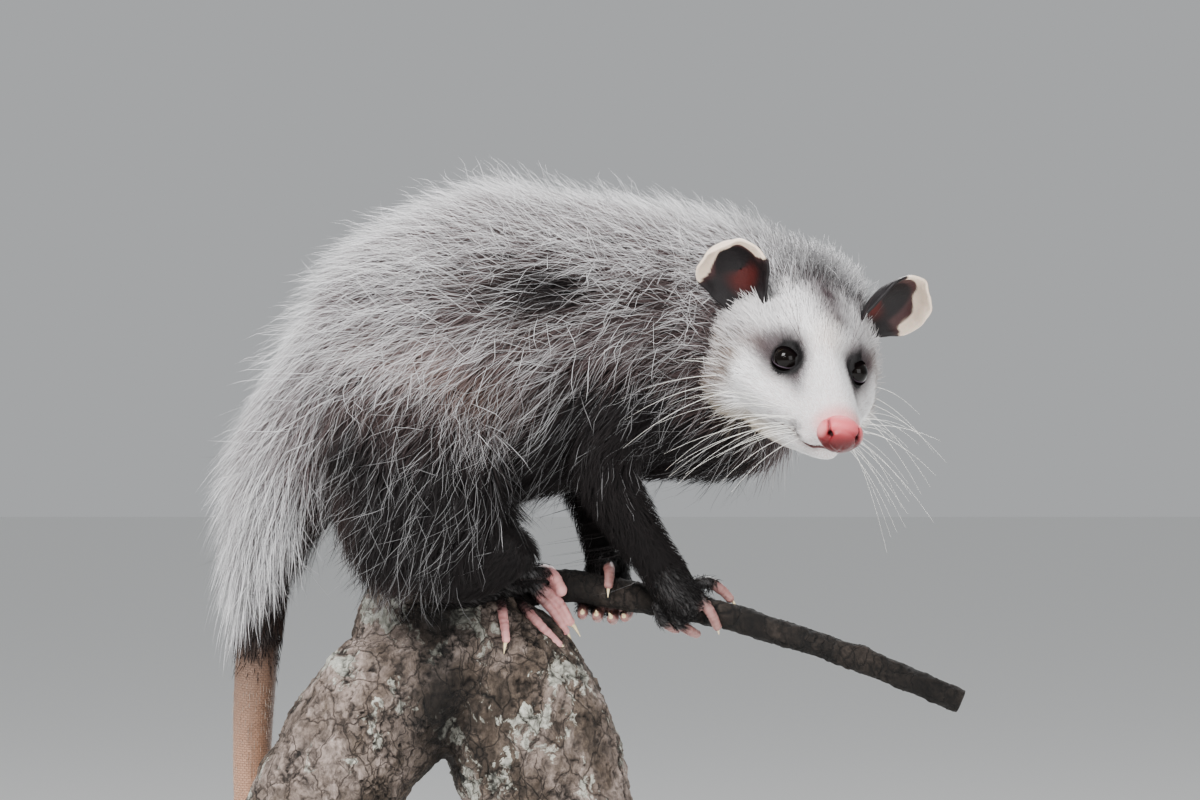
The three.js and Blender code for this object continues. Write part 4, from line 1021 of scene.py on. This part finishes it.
nose_shapes = [Tube(NOSE, 24, ends=(0.3, 0.6)).mesh(48)]
nose_shapes += [ellipsoid((44.4, s * 5.6, -12.6), (4.9, 4.3, 5.4)) for s, _ in SIDES]
nose_shapes.append(ellipsoid((45.0, 0, -15.8), (4.7, 6.9, 4.6)))
nose_mesh = remeshed(nose_shapes, NOSE_VOXEL, 10)
v, out = read(nose_mesh)
tones = painted(
    tint(0.60, 0.13, 0.16),
    (tint(0.87, 0.41, 0.44), limited(smooth(-13, -6.5, v[:, 2]) + smooth(44, 41, v[:, 0]) * 0.8) * 0.85),
    # Painted shade: the lower part of the pad is darkened below a height in the world
    (tint(0.27, 0.02, 0.035), smooth(320, 310.5, to_world(v)[:, 2]) * 0.95),
)
for s, _ in SIDES:
    slit, _ = near_path(v, [(44.0, s * 6.4, -7.6), (46.2, s * 6.0, -9.8), (47.2, s * 5.0, -11.8)])
    hole, _ = near_path(v, [(47.3, s * 4.9, -11.8), (47.5, s * 3.6, -12.4)])
    wing = np.linalg.norm((v - (44.5, s * 8.2, -12.0)) * (0.7, 1, 0.8), axis=1)
    v = v - out * (1.5 * np.exp(-(hole / 0.85) ** 2) + 0.8 * np.exp(-(slit / 0.65) ** 2))[:, None]
    # Painted shade: each nostril's slit and hole are painted a near-black red for the depth of the opening
    nostril_shade = limited(1.2 * np.exp(-(hole / 0.9) ** 2) + 0.85 * np.exp(-(slit / 0.5) ** 2))
    edge = 0.6 * (1 - smooth(1.5, 3.4, wing))
    tones = painted(tones, (tint(0.95, 0.66, 0.66), edge), (tint(0.16, 0.03, 0.03), nostril_shade))
cleft = 0.25 * np.exp(-(v[:, 1] / 0.6) ** 2) * smooth(-13, -17, v[:, 2]) * smooth(43, 46, v[:, 0])
v = v - out * cleft[:, None]
moved(nose_mesh, to_world(v))
nose_look = coloured("nose", 0.38, bump=0.35, scale=2600, specular=0.3, subsurface=0.12, coat=0.05,
                     mottle=0.1)
nose = finished("nose_pad", nose_mesh, nose_look, tones)
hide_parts("nose")

lip_look = coloured("lips", 0.45, bump=0.3, scale=1500, mottle=0.2)
for _, side in SIDES:
    spots = mouth_lines[side][::4]
    line = cord(to_world(spots), np.linspace(0.6, 0.3, len(spots)), rings=40)
    add(f"lip_{side}", line, lip_look, tint(0.33, 0.18, 0.175))

# Ears: a cup with a fold and a wavy rim, with a front and a back that meet at the edge

ear_look = coloured("ear", 0.5, bump=0.35, scale=1100, specular=0.25, mottle=0.25)
EAR_TO_TIP = unit(EAR_TO_TIP)
EAR_FACE = np.array((0.86, 0.42, -0.28))
EAR_FACE = unit(EAR_FACE - EAR_TO_TIP * (EAR_FACE @ EAR_TO_TIP))
EAR_WIDE = -np.cross(EAR_FACE, EAR_TO_TIP)
# Where the cream band runs round each ear, and how far out it starts
EAR_BAND = {"right": (-0.15, 0.2, 2.6, 2.95, 0.69), "left": (-0.25, 0.1, 2.5, 2.8, 0.80)}
circle = np.linspace(0, 2 * math.pi, 96, endpoint=False)


def ear_ring(radius):
    fold = np.maximum(0, np.cos(circle - 1.1)) ** 1.5
    rim = np.maximum(0, (radius - 0.72) / 0.28)
    wavy = 0.05 * np.sin(3 * circle + 0.6) + 0.025 * np.sin(7 * circle) + 0.012 * np.sin(13 * circle + 1)
    far = radius * (1 + wavy * rim) * (1 - 0.13 * fold * rim * rim)
    narrow = 1 - 0.22 * np.maximum(0, -np.sin(circle))
    bowl = 9 * (radius * radius - 1) + 5.5 * fold * rim * rim + 1.2 * np.sin(circle * 2 + 0.5) * rim
    return (EAR_AT + (15.5 * far * narrow * np.cos(circle))[:, None] * EAR_WIDE
            + (19 * far * np.sin(circle))[:, None] * EAR_TO_TIP + bowl[:, None] * EAR_FACE)


radii = np.linspace(0.01, 1, 30) ** 0.75
fronts = [ear_ring(q) for q in radii]
last = len(radii) - 1
about = (circle + math.pi) % (2 * math.pi) - math.pi
for s, side in SIDES:
    start_a, start_b, end_a, end_b, cream = EAR_BAND[side]
    band = smooth(start_a, start_b, about) * (1 - smooth(end_a, end_b, about))
    cream_from = cream + 0.06 * np.sin(circle * 3 + 1) + 0.025 * np.sin(circle * 7 + 2 + s)
    cream_from = cream_from + 0.5 * (1 - band)
    rings, tones = [], []
    for layer, order in ((1, range(last + 1)), (-1, range(last, -1, -1))):
        for i in order:
            q = radii[i]
            ahead = fronts[min(i + 1, last)] - fronts[max(i - 1, 0)]
            around = np.roll(fronts[i], -1, axis=0) - np.roll(fronts[i], 1, axis=0)
            rings.append(fronts[i] + layer * unit(np.cross(ahead, around)) * (0.8 - 0.3 * (q > 0.97)))
            deep = 0.85 * smooth(0.72, 0.3, q) * smooth(0.5, -0.6, np.sin(circle + 0.3))
            tones.append(painted(
                tint(0.08, 0.062, 0.07),
                (tint(0.34, 0.08, 0.06), deep * (layer > 0)),
                (tint(0.30, 0.19, 0.19), 0.8 * smooth(0.62, 0.74, q) * band * (layer > 0)),
                (tint(0.99, 0.90, 0.81), smooth(0.0, 0.03, q - cream_from - 0.06 * (layer < 0))),
            ))
    v, f = revolve(rings)
    if side == "left":
        pivot = EAR_AT - EAR_TO_TIP * 6
        v = (v - pivot) @ np.array(Matrix.Rotation(math.radians(-22), 3, Vector(EAR_FACE))).T + pivot
    v = to_world(v * (1, s, 1))
    ear = add(f"ear_leaf_{side}", (v, facing(f, -s)), ear_look, np.vstack(tones))
    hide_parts(f"ear_{side}")

# Whiskers

PALE_WHISKER = tint(0.97, 0.96, 0.93)
DARK_WHISKER = tint(0.25, 0.20, 0.20)
WHISKER_ROWS, WHISKERS_A_ROW = 4, 5
WHISKER_TIP = 0.03
whisker_look = coloured("whisker", 0.35)
strands, tones = [], []


def whisker(root, way, length, sag, radius, tone):
    root = to_world(root)
    way = unit(way @ HEAD_TURN.T)
    path = [root + way * length * t - (0, 0, sag * length * t * t) for t in np.linspace(0, 1, 7)]
    strands.append(cord(path, np.linspace(radius, WHISKER_TIP, 7), sides=5, rings=9, ends=(0.2, 0.2)))
    tones.append(np.tile(tone, (len(strands[-1][0]), 1)))


# The rows of the muzzle, then those of the cheek and over the eye
for s, _ in SIDES:
    for row in range(WHISKER_ROWS):
        for i in range(WHISKERS_A_ROW):
            root = (29 - 3.6 * i, s * (8.4 + 0.9 * i + 0.4 * row), -15.5 - 2.3 * row)
            way = np.array((-0.30 - 0.16 * i + draws.normal(0, 0.16), s * (1.0 + 0.1 * draws.normal()),
                            0.16 - 0.28 * row + draws.normal(0, 0.12)))
            length = 26 + 6 * i + draws.random() * 20
            whisker(root, way, length, 0.22 + 0.22 * draws.random(), 0.095, PALE_WHISKER)
    for i in range(5):
        root = (-26 + 3 * i, s * 31, -14 - 2.4 * i)
        way = np.array((-0.6 + 0.1 * i, s, -0.10 - 0.1 * i)) + draws.normal(0, 0.08, 3)
        whisker(root, way, 38 + 14 * draws.random(), 0.3, 0.11, PALE_WHISKER)
    for i in range(3):
        root = (-6 + 3 * i, s * (12 - i), 11 - 2.2 * i)
        way = np.array((-0.75, s * (0.15 + 0.2 * i), 0.75)) + draws.normal(0, 0.06, 3)
        whisker(root, way, 26 + 8 * draws.random(), 0.05, 0.11, DARK_WHISKER)
add("whiskers", joined(strands), whisker_look, np.vstack(tones))

# Tail

v, f = tail.mesh(40)
_, along, about, ring = tail.locate(v)
far = along * tail.length
uneven = rough(v, 16, 3)
v = v + unit(v - tail.centre[ring]) * (0.12 * uneven)[:, None]
tones = painted(
    tint(0.66, 0.50, 0.40),
    (tint(0.40, 0.30, 0.24), smooth(98, 50, far) * 0.8),
    (tint(0.12, 0.09, 0.088), limited(smooth(56, 24, far + 6 * uneven) + 0.15 * smooth(0.1, 0.6, uneven))),
    (tint(0.80, 0.64, 0.54), smooth(190, 300, far) * 0.7),
)
SCALES_ROUND, SCALE_ROW = 6.4, 1.05
look = Look("tail_skin", roughness=0.5)
around = look.node("Attribute", {}, attribute_name="Around").outputs["Vector"]
scales = look.node("TexBrick", {
    "Vector": around, "Scale": 1, "Mortar Size": 0.16, "Mortar Smooth": 1, "Brick Width": 1.5,
    "Row Height": 1.0, "Color1": (1, 1, 1, 1), "Color2": (0.82, 0.80, 0.78, 1),
    "Mortar": (0.42, 0.37, 0.35, 1),
}).outputs
tail_look = look.finish(look.mix(look.own(), scales["Color"], 0.8), scales["Fac"], 0.7, 0.0003, invert=True)
tail_piece = add("tail_scales", (v, f), tail_look, tones)
layer = tail_piece.data.attributes.new("Around", "FLOAT_VECTOR", "POINT")
spread = np.stack([about * SCALES_ROUND, far / SCALE_ROW, np.zeros(len(v))], axis=1)
layer.data.foreach_set("vector", spread.astype(np.float32).ravel())
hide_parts("tail_middle", "tail_tip")
tail_p, tail_n = read(tail_piece.data)


def on_tail(low, fade, high, count):
    """Spots on the tail between two lengths from its root, fewer past a third, and the tail's way there."""
    share = np.where((far > low) & (far < high), smooth(high, fade, far) + 0.02, 0)
    pick = draws.choice(len(far), count, p=share / share.sum())
    way = tail.along[ring[pick]]
    sheet = np.stack([0.82 + 0.16 * along[pick], 0.82 + 0.16 * (about[pick] / (2 * math.pi) + 0.5)], axis=1)
    return Spots(tail_p[pick], along_skin(tail_n[pick], way), sheet), way


r, way = on_tail(0, 14, 52, TAIL_ROOT_HAIRS)
way = r.turned(way, 0.22)
length = 4.0 + r.draw(0, 9) * smooth(214, 262, r.at[:, 2])
tips = blend(BLACK, tint(0.34, 0.27, 0.24), r.draw(0, 1) ** 2)
hairs("coat_tail_root", r, way, length, 0.25 * length, 0.15, BLACK, tips, under_look, steps=2)
r, way = on_tail(50, 300, 330, TAIL_HAIRS)
hairs("coat_tail", r, way, 2.2 + r.draw(0, 1.6), r.draw(0.5, 1), 0.06, tint(0.5, 0.42, 0.36),
      tint(0.8, 0.75, 0.7), guard_look, steps=2)

# The wisps of the rump that hang over the tail's root
turns = draws.random(RUMP_HAIRS) * 2 * math.pi
level = draws.integers(0, 14, RUMP_HAIRS)
at = np.array([trunk.points(k, np.array([a]))[0] for k, a in zip(level, turns)])
sheet = np.stack([0.02 + 0.3 * level / 60, 0.25 + 0.2 * turns / 7], axis=1)
r = Spots(at, unit(at - trunk.centre[level]), sheet)
way = r.turned(along_skin(unit(-trunk.along[level] + np.array((0.1, 0, -1.0))), r.normal), 0.14)
beyond = smooth(-5, 3, at[:, 0] + 82 - 0.58 * (at[:, 2] - 288))
shade = blend(WHITE * (0.16 + r.draw(0, 0.64))[:, None], BROWN, beyond)
length = (13 + r.draw(0, 13)) * (1.6 - 1.3 * beyond)
hairs("coat_rump", r, way, length, length * (0.06 + r.draw(0, 0.12)), 0.14, shade * 0.7, shade, guard_look,
      steps=4, clump=0.5, bend=r.spread(3), sag=0.05, soft=0.2)

# Paws

perch_shapes = []
for key in ("perch_limb_right", "perch_limb_left", "perch_branch"):
    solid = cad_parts[key].data
    perch_shapes.append(([Vector(q.co) / MM for q in solid.vertices], [q.vertices for q in solid.polygons]))
perch_tree = BVHTree.FromPolygons(*joined(perch_shapes))


def perch_face(px, pz, s, otherwise):
    """How far out the perch's surface lies, seen from one side."""
    hit = perch_tree.ray_cast(Vector((px, s * 1200, pz)), Vector((0, -s, 0)))[0]
    return hit.y if hit is not None else otherwise


def digit(points, radius, clawed):
    """The flesh of a finger or toe, its claw if it has one and the line of its joints."""
    last = len(points) - (2 if clawed else 1)
    line = np.array(points[:last + 1], float)
    narrowing = 0.30 if clawed else 0.1
    thick = [radius * (1.02 - narrowing * i / last) for i in range(last + 1)]
    thick = [q * (1.06 if 0 < i < last else 1) for i, q in enumerate(thick)]
    flesh = [cord(line, thick, sides=14, rings=20), ellipsoid(line[-1], (thick[-1] * 1.1,) * 3)]
    if not clawed:
        return flesh, [], line
    base, tip = (np.array(q, float) for q in points[last:last + 2])
    way = unit(tip - base)
    path = [base - way * 0.8, base + way * 1.4, (base + tip) / 2 + (0, 0, 0.5), tip + way * 1.6]
    return flesh, [cord(path, [1.0, 1.0, 0.75, 0.1], rings=14, ends=(0.2, 0.2))], line


def paw(part, palm, digits, radius, pink_at, flesh_tint):
    """A palm and its digits, dark at the root and paler towards the tips, with claws and short hairs."""
    name = f"{part}_flesh"
    shapes, claws, lines = [palm], [], []
    for points, clawed in digits:
        flesh, claw, line = digit(points, radius if clawed else radius * 1.2, clawed)
        shapes += flesh
        claws += claw
        lines.append(line)
    mesh = remeshed(shapes, PAW_VOXEL, 2)
    q, nq = read(mesh)
    reach = np.zeros(len(q))
    near = np.full(len(q), 1e9)
    for line in lines:
        fine = np.vstack([a + (b - a) * k / 8 for a, b in zip(line, line[1:]) for k in range(9)])
        gap = np.sqrt(((q[:, None] - fine[None]) ** 2).sum(-1))
        better = gap.min(1) < near
        reach[better] = (gap.argmin(1) / len(fine))[better]
        near = np.minimum(near, gap.min(1))
    uneven = rough(q, 5, 1)
    pink = smooth(pink_at, pink_at + 0.28, reach + 0.06 * uneven) * smooth(5.0, 3.2, near)
    crease = np.sin(reach * 62) * smooth(0.2, 0.35, reach) * smooth(0.97, 0.85, reach)
    # Darker blotches of the pink skin, and painted shade in its creases, which are also sunk into the surface
    mottling_and_crease_shade = pink * limited(0.4 * smooth(0.0, 0.6, uneven) + 0.25 * crease)
    tones = painted(tint(0.07, 0.05, 0.05), (flesh_tint, pink), (flesh_tint * (0.62, 0.42, 0.44), mottling_and_crease_shade))
    moved(mesh, q + nq * (0.10 * rough(q, 1.6, 2, 2) - 0.10 * crease)[:, None])
    thing = finished(name, mesh, paw_look, tones)
    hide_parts(part)
    add(f"{name}_claws", joined(claws), claw_look, tint(0.93, 0.85, 0.66))
    furred = np.where((pink < 0.25) & (draws.random(len(q)) < 0.5))[0]
    pick = draws.choice(furred, min(len(furred), PAW_HAIRS), replace=False)
    low = q.min(0)
    sheet = 0.82 + 0.15 * (q[pick][:, [0, 2]] - low[[0, 2]]) / (q.max(0) - low)[[0, 2]]
    r = Spots(q[pick], nq[pick], sheet)
    way = unit(np.mean([line[-1] for line in lines], axis=0) - r.at)
    way = r.turned(along_skin(way, r.normal), 0.3)
    hairs(f"coat_{name}", r, way, 3 + r.draw(0, 2.5), 0.7 + r.draw(0, 0.6), 0.13, BLACK * 0.5,
          BLACK * (0.5 + r.draw(0, 0.8))[:, None], under_look, steps=2)


paw_look = coloured("paw", 0.5, bump=0.5, scale=1300, subsurface=0.1, mottle=0.25)
claw_look = coloured("claw", 0.3, bump=0.15, scale=1500, coat=0.2, mottle=0.15)
# The hind foot's thumb has no claw. The first two radii are how far toes lie off the perch.
THUMB = 4
TOE_RADIUS, THUMB_RADIUS, FOOT_RADIUS, HAND_RADIUS = 2.35, 2.9, 2.3, 2.6
for s, side in SIDES:
    face_y = s * 26
    stations = []
    for px, pz, half, rise in SOLE:
        face_y = perch_face(px, pz, s, face_y) + s * rise
        stations.append((px, face_y, pz, half, rise))
    sole = Tube(stations, 16, side=(0, 0, 1), ends=(0.8, 0.6)).mesh(24)
    digits = []
    for which, joints in enumerate(TOES):
        clawed = which < THUMB
        radius = TOE_RADIUS if clawed else THUMB_RADIUS
        face_y = s * 20
        spots = []
        for i, (px, pz) in enumerate(joints):
            face_y = perch_face(px, pz, s, face_y)
            spots.append((px, face_y + s * (radius + 0.5 if i < 4 else 1.4), pz))
        digits.append((spots, clawed))
    paw(f"foot_{side}", sole, digits, FOOT_RADIUS, 0.36, tint(0.84, 0.60, 0.59))
for side, stations, fingers in (("right", RIGHT_PALM, RIGHT_FINGERS), ("left", LEFT_PALM, LEFT_FINGERS)):
    palm = Tube(stations, 16, ends=(0.6, 0.6)).mesh(24)
    digits = [(points, True) for points in fingers]
    paw(f"hand_{side}", palm, digits, HAND_RADIUS, 0.34, tint(0.58, 0.42, 0.40))

# Perch

SHADOW, FULL = (0, 0, 0), (1, 1, 1)


def bark(name, shades, lichen_from):
    """Plates and grain in greys and browns, with lichen above a level, cracks and pits painted darker as
    painted shade, and darkened by the mesh's own tint, which carries painted shade.
    """
    look = Look(name, roughness=0.92, specular=0.3)
    where = look.place()
    warp = look.node("TexNoise", {"Vector": where, "Scale": 110, "Detail": 6}).outputs["Color"]
    bent = look.node("VectorMath", {0: warp, 1: (0.010, 0.010, 0.010), 2: where}, operation="MULTIPLY_ADD")
    at = look.node("Mapping", {"Vector": bent.outputs["Vector"], "Scale": (1, 1, 0.6)}).outputs["Vector"]

    def noisy(scale, detail, roughness=0.5):
        inputs = {"Vector": at, "Scale": scale, "Detail": detail, "Roughness": roughness}
        return look.node("TexNoise", inputs).outputs

    def cells(scale, **settings):
        return look.node("TexVoronoi", {"Vector": at, "Scale": scale, "Randomness": 1.0}, **settings).outputs

    def edges(scale, width):
        gap = cells(scale, feature="DISTANCE_TO_EDGE")["Distance"]
        return look.ramp(gap, (0.0, (0.06, 0.05, 0.04)), (width, FULL))

    fine = noisy(620, 10, 0.78)
    base = look.ramp(noisy(24, 10, 0.68)["Fac"], (0.36, shades[0]), (0.48, shades[1]), (0.60, shades[2]))
    plates = look.ramp(cells(130)["Color"], (0.2, (0.55, 0.51, 0.47)), (0.8, FULL))
    grain = look.ramp(fine["Fac"], (0.36, (0.30, 0.28, 0.26)), (0.58, FULL))
    # Painted shade: the pits and the crack lines are darkened where the bump sinks them
    shaded_pits = look.ramp(noisy(240, 8, 0.7)["Fac"], (0.36, (0.10, 0.09, 0.08)), (0.45, FULL))
    shown = look.ramp(noisy(34, 6)["Fac"], (0.46, SHADOW), (0.52, FULL))
    broad = edges(75, 0.035)
    shaded_cracks = look.mix(broad, look.mix(broad, edges(190, 0.05)), shown, "MIX")
    lichen = look.ramp(noisy(46, 12, 0.7)["Fac"], (lichen_from, SHADOW), (lichen_from + 0.015, FULL))
    pale = look.ramp(fine["Fac"], (0.34, tint(0.46, 0.46, 0.42)), (0.6, tint(0.78, 0.78, 0.74)))
    tone = look.mix(look.mix(look.mix(base, plates, 0.6), grain, 0.9), shaded_pits, 0.7)
    tone = look.mix(look.mix(tone, pale, lichen, "MIX"), shaded_cracks, 0.85)
    relief = look.mix(look.mix(fine["Color"], shaded_pits, 0.8), shaded_cracks)
    return look.finish(look.mix(tone, look.own()), relief)


def plated(points, out, size, stretch, high, deep):
    """Points pushed out into plates of bark with broken cracks between, and a painted shade at each point,
    darker in the cracks and lighter where the bark stands higher.
    """
    warp = np.stack([rough(points, size * 0.8, 21 + k, 5) for k in range(3)], axis=1) * size * 0.42
    lift, crack = np.empty(len(points)), np.empty(len(points))
    for i, q in enumerate((points + warp) / size * stretch):
        near, spots = noise.voronoi(Vector(q))
        lift[i] = math.sin(spots[0].x * 91.7 + spots[0].y * 47.3 + spots[0].z * 73.1) * 0.5 + 0.5
        crack[i] = near[1] - near[0]
    broken = smooth(-0.25, 0.3, rough(points, size * 1.3, 31))
    closed = (1 - smooth(0.0, 0.10, crack)) * (0.3 + 0.7 * broken)
    fine = rough(points * stretch, size * 0.25, 25, 5)
    folds = rough(points / stretch ** 3, size * 0.4, 27, 4)
    rise = (0.25 + 0.75 * lift) * high * broken - deep * closed + 0.3 * high * fine + 0.35 * high * folds
    shade = (1 - 0.88 * closed) * (0.86 + 0.5 * fine + 0.22 * folds) * (0.8 + 0.3 * lift)
    shade = np.clip(shade, 0.05, 1.25)
    return points + out * rise[:, None], limited(shade[:, None] * (1, 0.985, 0.965))


bark_look = bark("bark", (tint(0.13, 0.105, 0.075), tint(0.40, 0.35, 0.31), tint(0.66, 0.60, 0.57)), 0.555)
limb_legs = [Tube(q, 30, ends=(0.4, 0.4)).mesh(40) for q in (LIMB_RIGHT_LEG, LIMB_LEFT_LEG)]
limb_mesh = remeshed(limb_legs, LIMB_VOXEL, 9)
q, nq = read(limb_mesh)
lumps = 1.3 * rough(q * (1, 1, 0.7), 26, 4) - 0.7
q, tones = plated(q + nq * lumps[:, None], nq, 15, np.array((1, 1, 0.7)), 1.3, 1.2)
# Painted shade: the bark is darkened in the crotch of the fork and along a band across its top
crotch_shade = blob(q, (-25, 0, 205), (15, 60, 36)) * 1.1 + blob(q, (-30, 0, 240), (36, 60, 10)) * 0.65
tones = tones * (1 - np.clip(crotch_shade, 0, 0.95))[:, None]
q[:, 2] = np.maximum(q[:, 2], LIMB_FOOT_Z)
moved(limb_mesh, q)
limb = finished("limb_bark", limb_mesh, bark_look, tones)
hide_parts("perch_limb_right", "perch_limb_left")

twig_shades = (tint(0.065, 0.052, 0.042), tint(0.125, 0.104, 0.09), tint(0.23, 0.20, 0.18))
twig_look = bark("twig_bark", twig_shades, 0.66)
KNOTS = ((130, 0.9), (168, 2.4), (196, -0.6), (236, 1.7), (266, 0.4))
twig_tube = Tube(BRANCH, 300, ends=(0.4, 0.12))
v, f = twig_tube.mesh(48)
out = unit(v - twig_tube.centre[twig_tube.locate(v)[3]])
lumps = 0.45 * rough(v, 9, 6) - 0.25
v, tones = plated(v + out * lumps[:, None], out, 5.5, np.array((0.6, 1, 1)), 0.5, 0.35)
for k, turn in KNOTS:
    knot = twig_tube.points(k, np.array([turn]))[0]
    v = v + out * (1.5 * blob(v, knot, 3.0))[:, None]
twig = add("branch_bark", (v, f), twig_look, tones)
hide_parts("perch_branch")

# Stand

CORNER_RADIUS, CORNER_STEPS = 18, 12
CORNERS = ((132, 67, 0), (-132, 67, 90), (-132, -67, 180), (132, -67, 270))
PLATE_WALL, PLATE_TOP, EDGE_RADIUS = 11, 14, 3
ROD_RINGS = ((10, 14.1), (10, 15.6), (9.4, 16.3), (5.6, 17.2), (5.0, 18.6), (5.0, 159.7))
ROD_SIDES = 48


def capped(rings):
    """A closed solid over rings."""
    vertices, faces = revolve(rings)
    size, count = len(rings[0]), len(vertices)
    return vertices, faces + [tuple(range(size))[::-1], tuple(range(count - size, count))]


def plate_ring(inset, height):
    ring = []
    for cx, cy, start in CORNERS:
        for k in range(CORNER_STEPS + 1):
            a = math.radians(start + 90 * k / CORNER_STEPS)
            radius = CORNER_RADIUS - inset
            ring.append((cx + radius * math.cos(a), cy + radius * math.sin(a), height))
    return np.array(ring)


look = Look("base_wood", roughness=0.55, specular=0.22)
grain = {"Vector": look.place((3, 40, 40)), "Scale": 6, "Detail": 8, "Roughness": 0.6}
wood = look.node("TexNoise", grain).outputs["Fac"]
tone = look.ramp(wood, (0.35, (0.008, 0.0065, 0.006)), (0.65, (0.032, 0.025, 0.021)))
base_look = look.finish(tone, wood, 0.15, 0.0004)
rings = [plate_ring(1.0, 0), plate_ring(0, 1.0), plate_ring(0, PLATE_WALL)]
for a in (0.4, 0.8, 1.2, math.pi / 2):
    rings.append(plate_ring(EDGE_RADIUS * (1 - math.cos(a)), PLATE_WALL + EDGE_RADIUS * math.sin(a)))
rings.append(plate_ring(CORNER_RADIUS / 2, PLATE_TOP))
plate = add("stand_plate", capped(rings), base_look)
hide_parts("stand_base")

look = Look("rod_steel", metallic=0.4, roughness=0.38)
brushed = look.node("TexNoise", {"Vector": look.place(), "Scale": 900, "Detail": 4}).outputs["Fac"]
rod_look = look.finish(look.ramp(brushed, (0.3, (0.02, 0.02, 0.021)), (0.7, (0.045, 0.045, 0.047))))
turn = np.linspace(0, 2 * math.pi, ROD_SIDES, endpoint=False)
circle = np.stack([np.cos(turn), np.sin(turn), np.zeros(ROD_SIDES)], axis=1)
for name, (rx, ry) in {"stand_rod_left": (-82, -17), "stand_rod_right": (26, -2)}.items():
    rings = [circle * radius + (rx, ry, height) for radius, height in ROD_RINGS]
    rod = add(f"{name}_steel", capped(rings), rod_look)
    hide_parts(name)

# Floor, light and camera, in metres

LIT_SPOT = (0.03, 0, 0.32)
CAMERA_AT = (0.042, -3.5, 0.3297)
SENSOR, LENS, FAR_END = 36, 250, 100
FLOOR_SIZE = 40
look = Look("floor", roughness=0.9)
bpy.ops.mesh.primitive_plane_add(size=FLOOR_SIZE, location=(0, 0, 0))
floor = bpy.context.object
floor.name = "floor"
floor.data.materials.append(look.finish((0.88, 0.88, 0.87, 1)))

world = bpy.data.worlds.new("studio")
bpy.context.scene.world = world
world.use_nodes = True
sky = world.node_tree.nodes["Background"].inputs
sky["Color"].default_value = (0.80, 0.82, 0.84, 1)
sky["Strength"].default_value = 0.55


def lamp(name, spot, energy, size):
    data = bpy.data.lights.new(name, "AREA")
    data.energy = energy
    data.size = size
    thing = bpy.data.objects.new(name, data)
    thing.location = spot
    thing.rotation_euler = (Vector(LIT_SPOT) - Vector(spot)).to_track_quat("-Z", "Y").to_euler()
    bpy.context.scene.collection.objects.link(thing)


lamp("key", (-0.9, -1.6, 2.2), 150, 1.1)
lamp("fill", (1.8, -2.2, 1.0), 42, 1.6)
lamp("back", (0.4, 1.9, 1.7), 80, 1.2)
lamp("spark", (-0.35, -2.4, 1.5), 13, 0.16)

camera_data = bpy.data.cameras.new("camera")
camera_data.sensor_width = SENSOR
camera_data.lens = LENS
camera_data.clip_end = FAR_END
camera = bpy.data.objects.new("camera", camera_data)
camera.location = CAMERA_AT
camera.rotation_euler = (math.pi / 2, 0, 0)
bpy.context.scene.collection.objects.link(camera)
bpy.context.scene.camera = camera
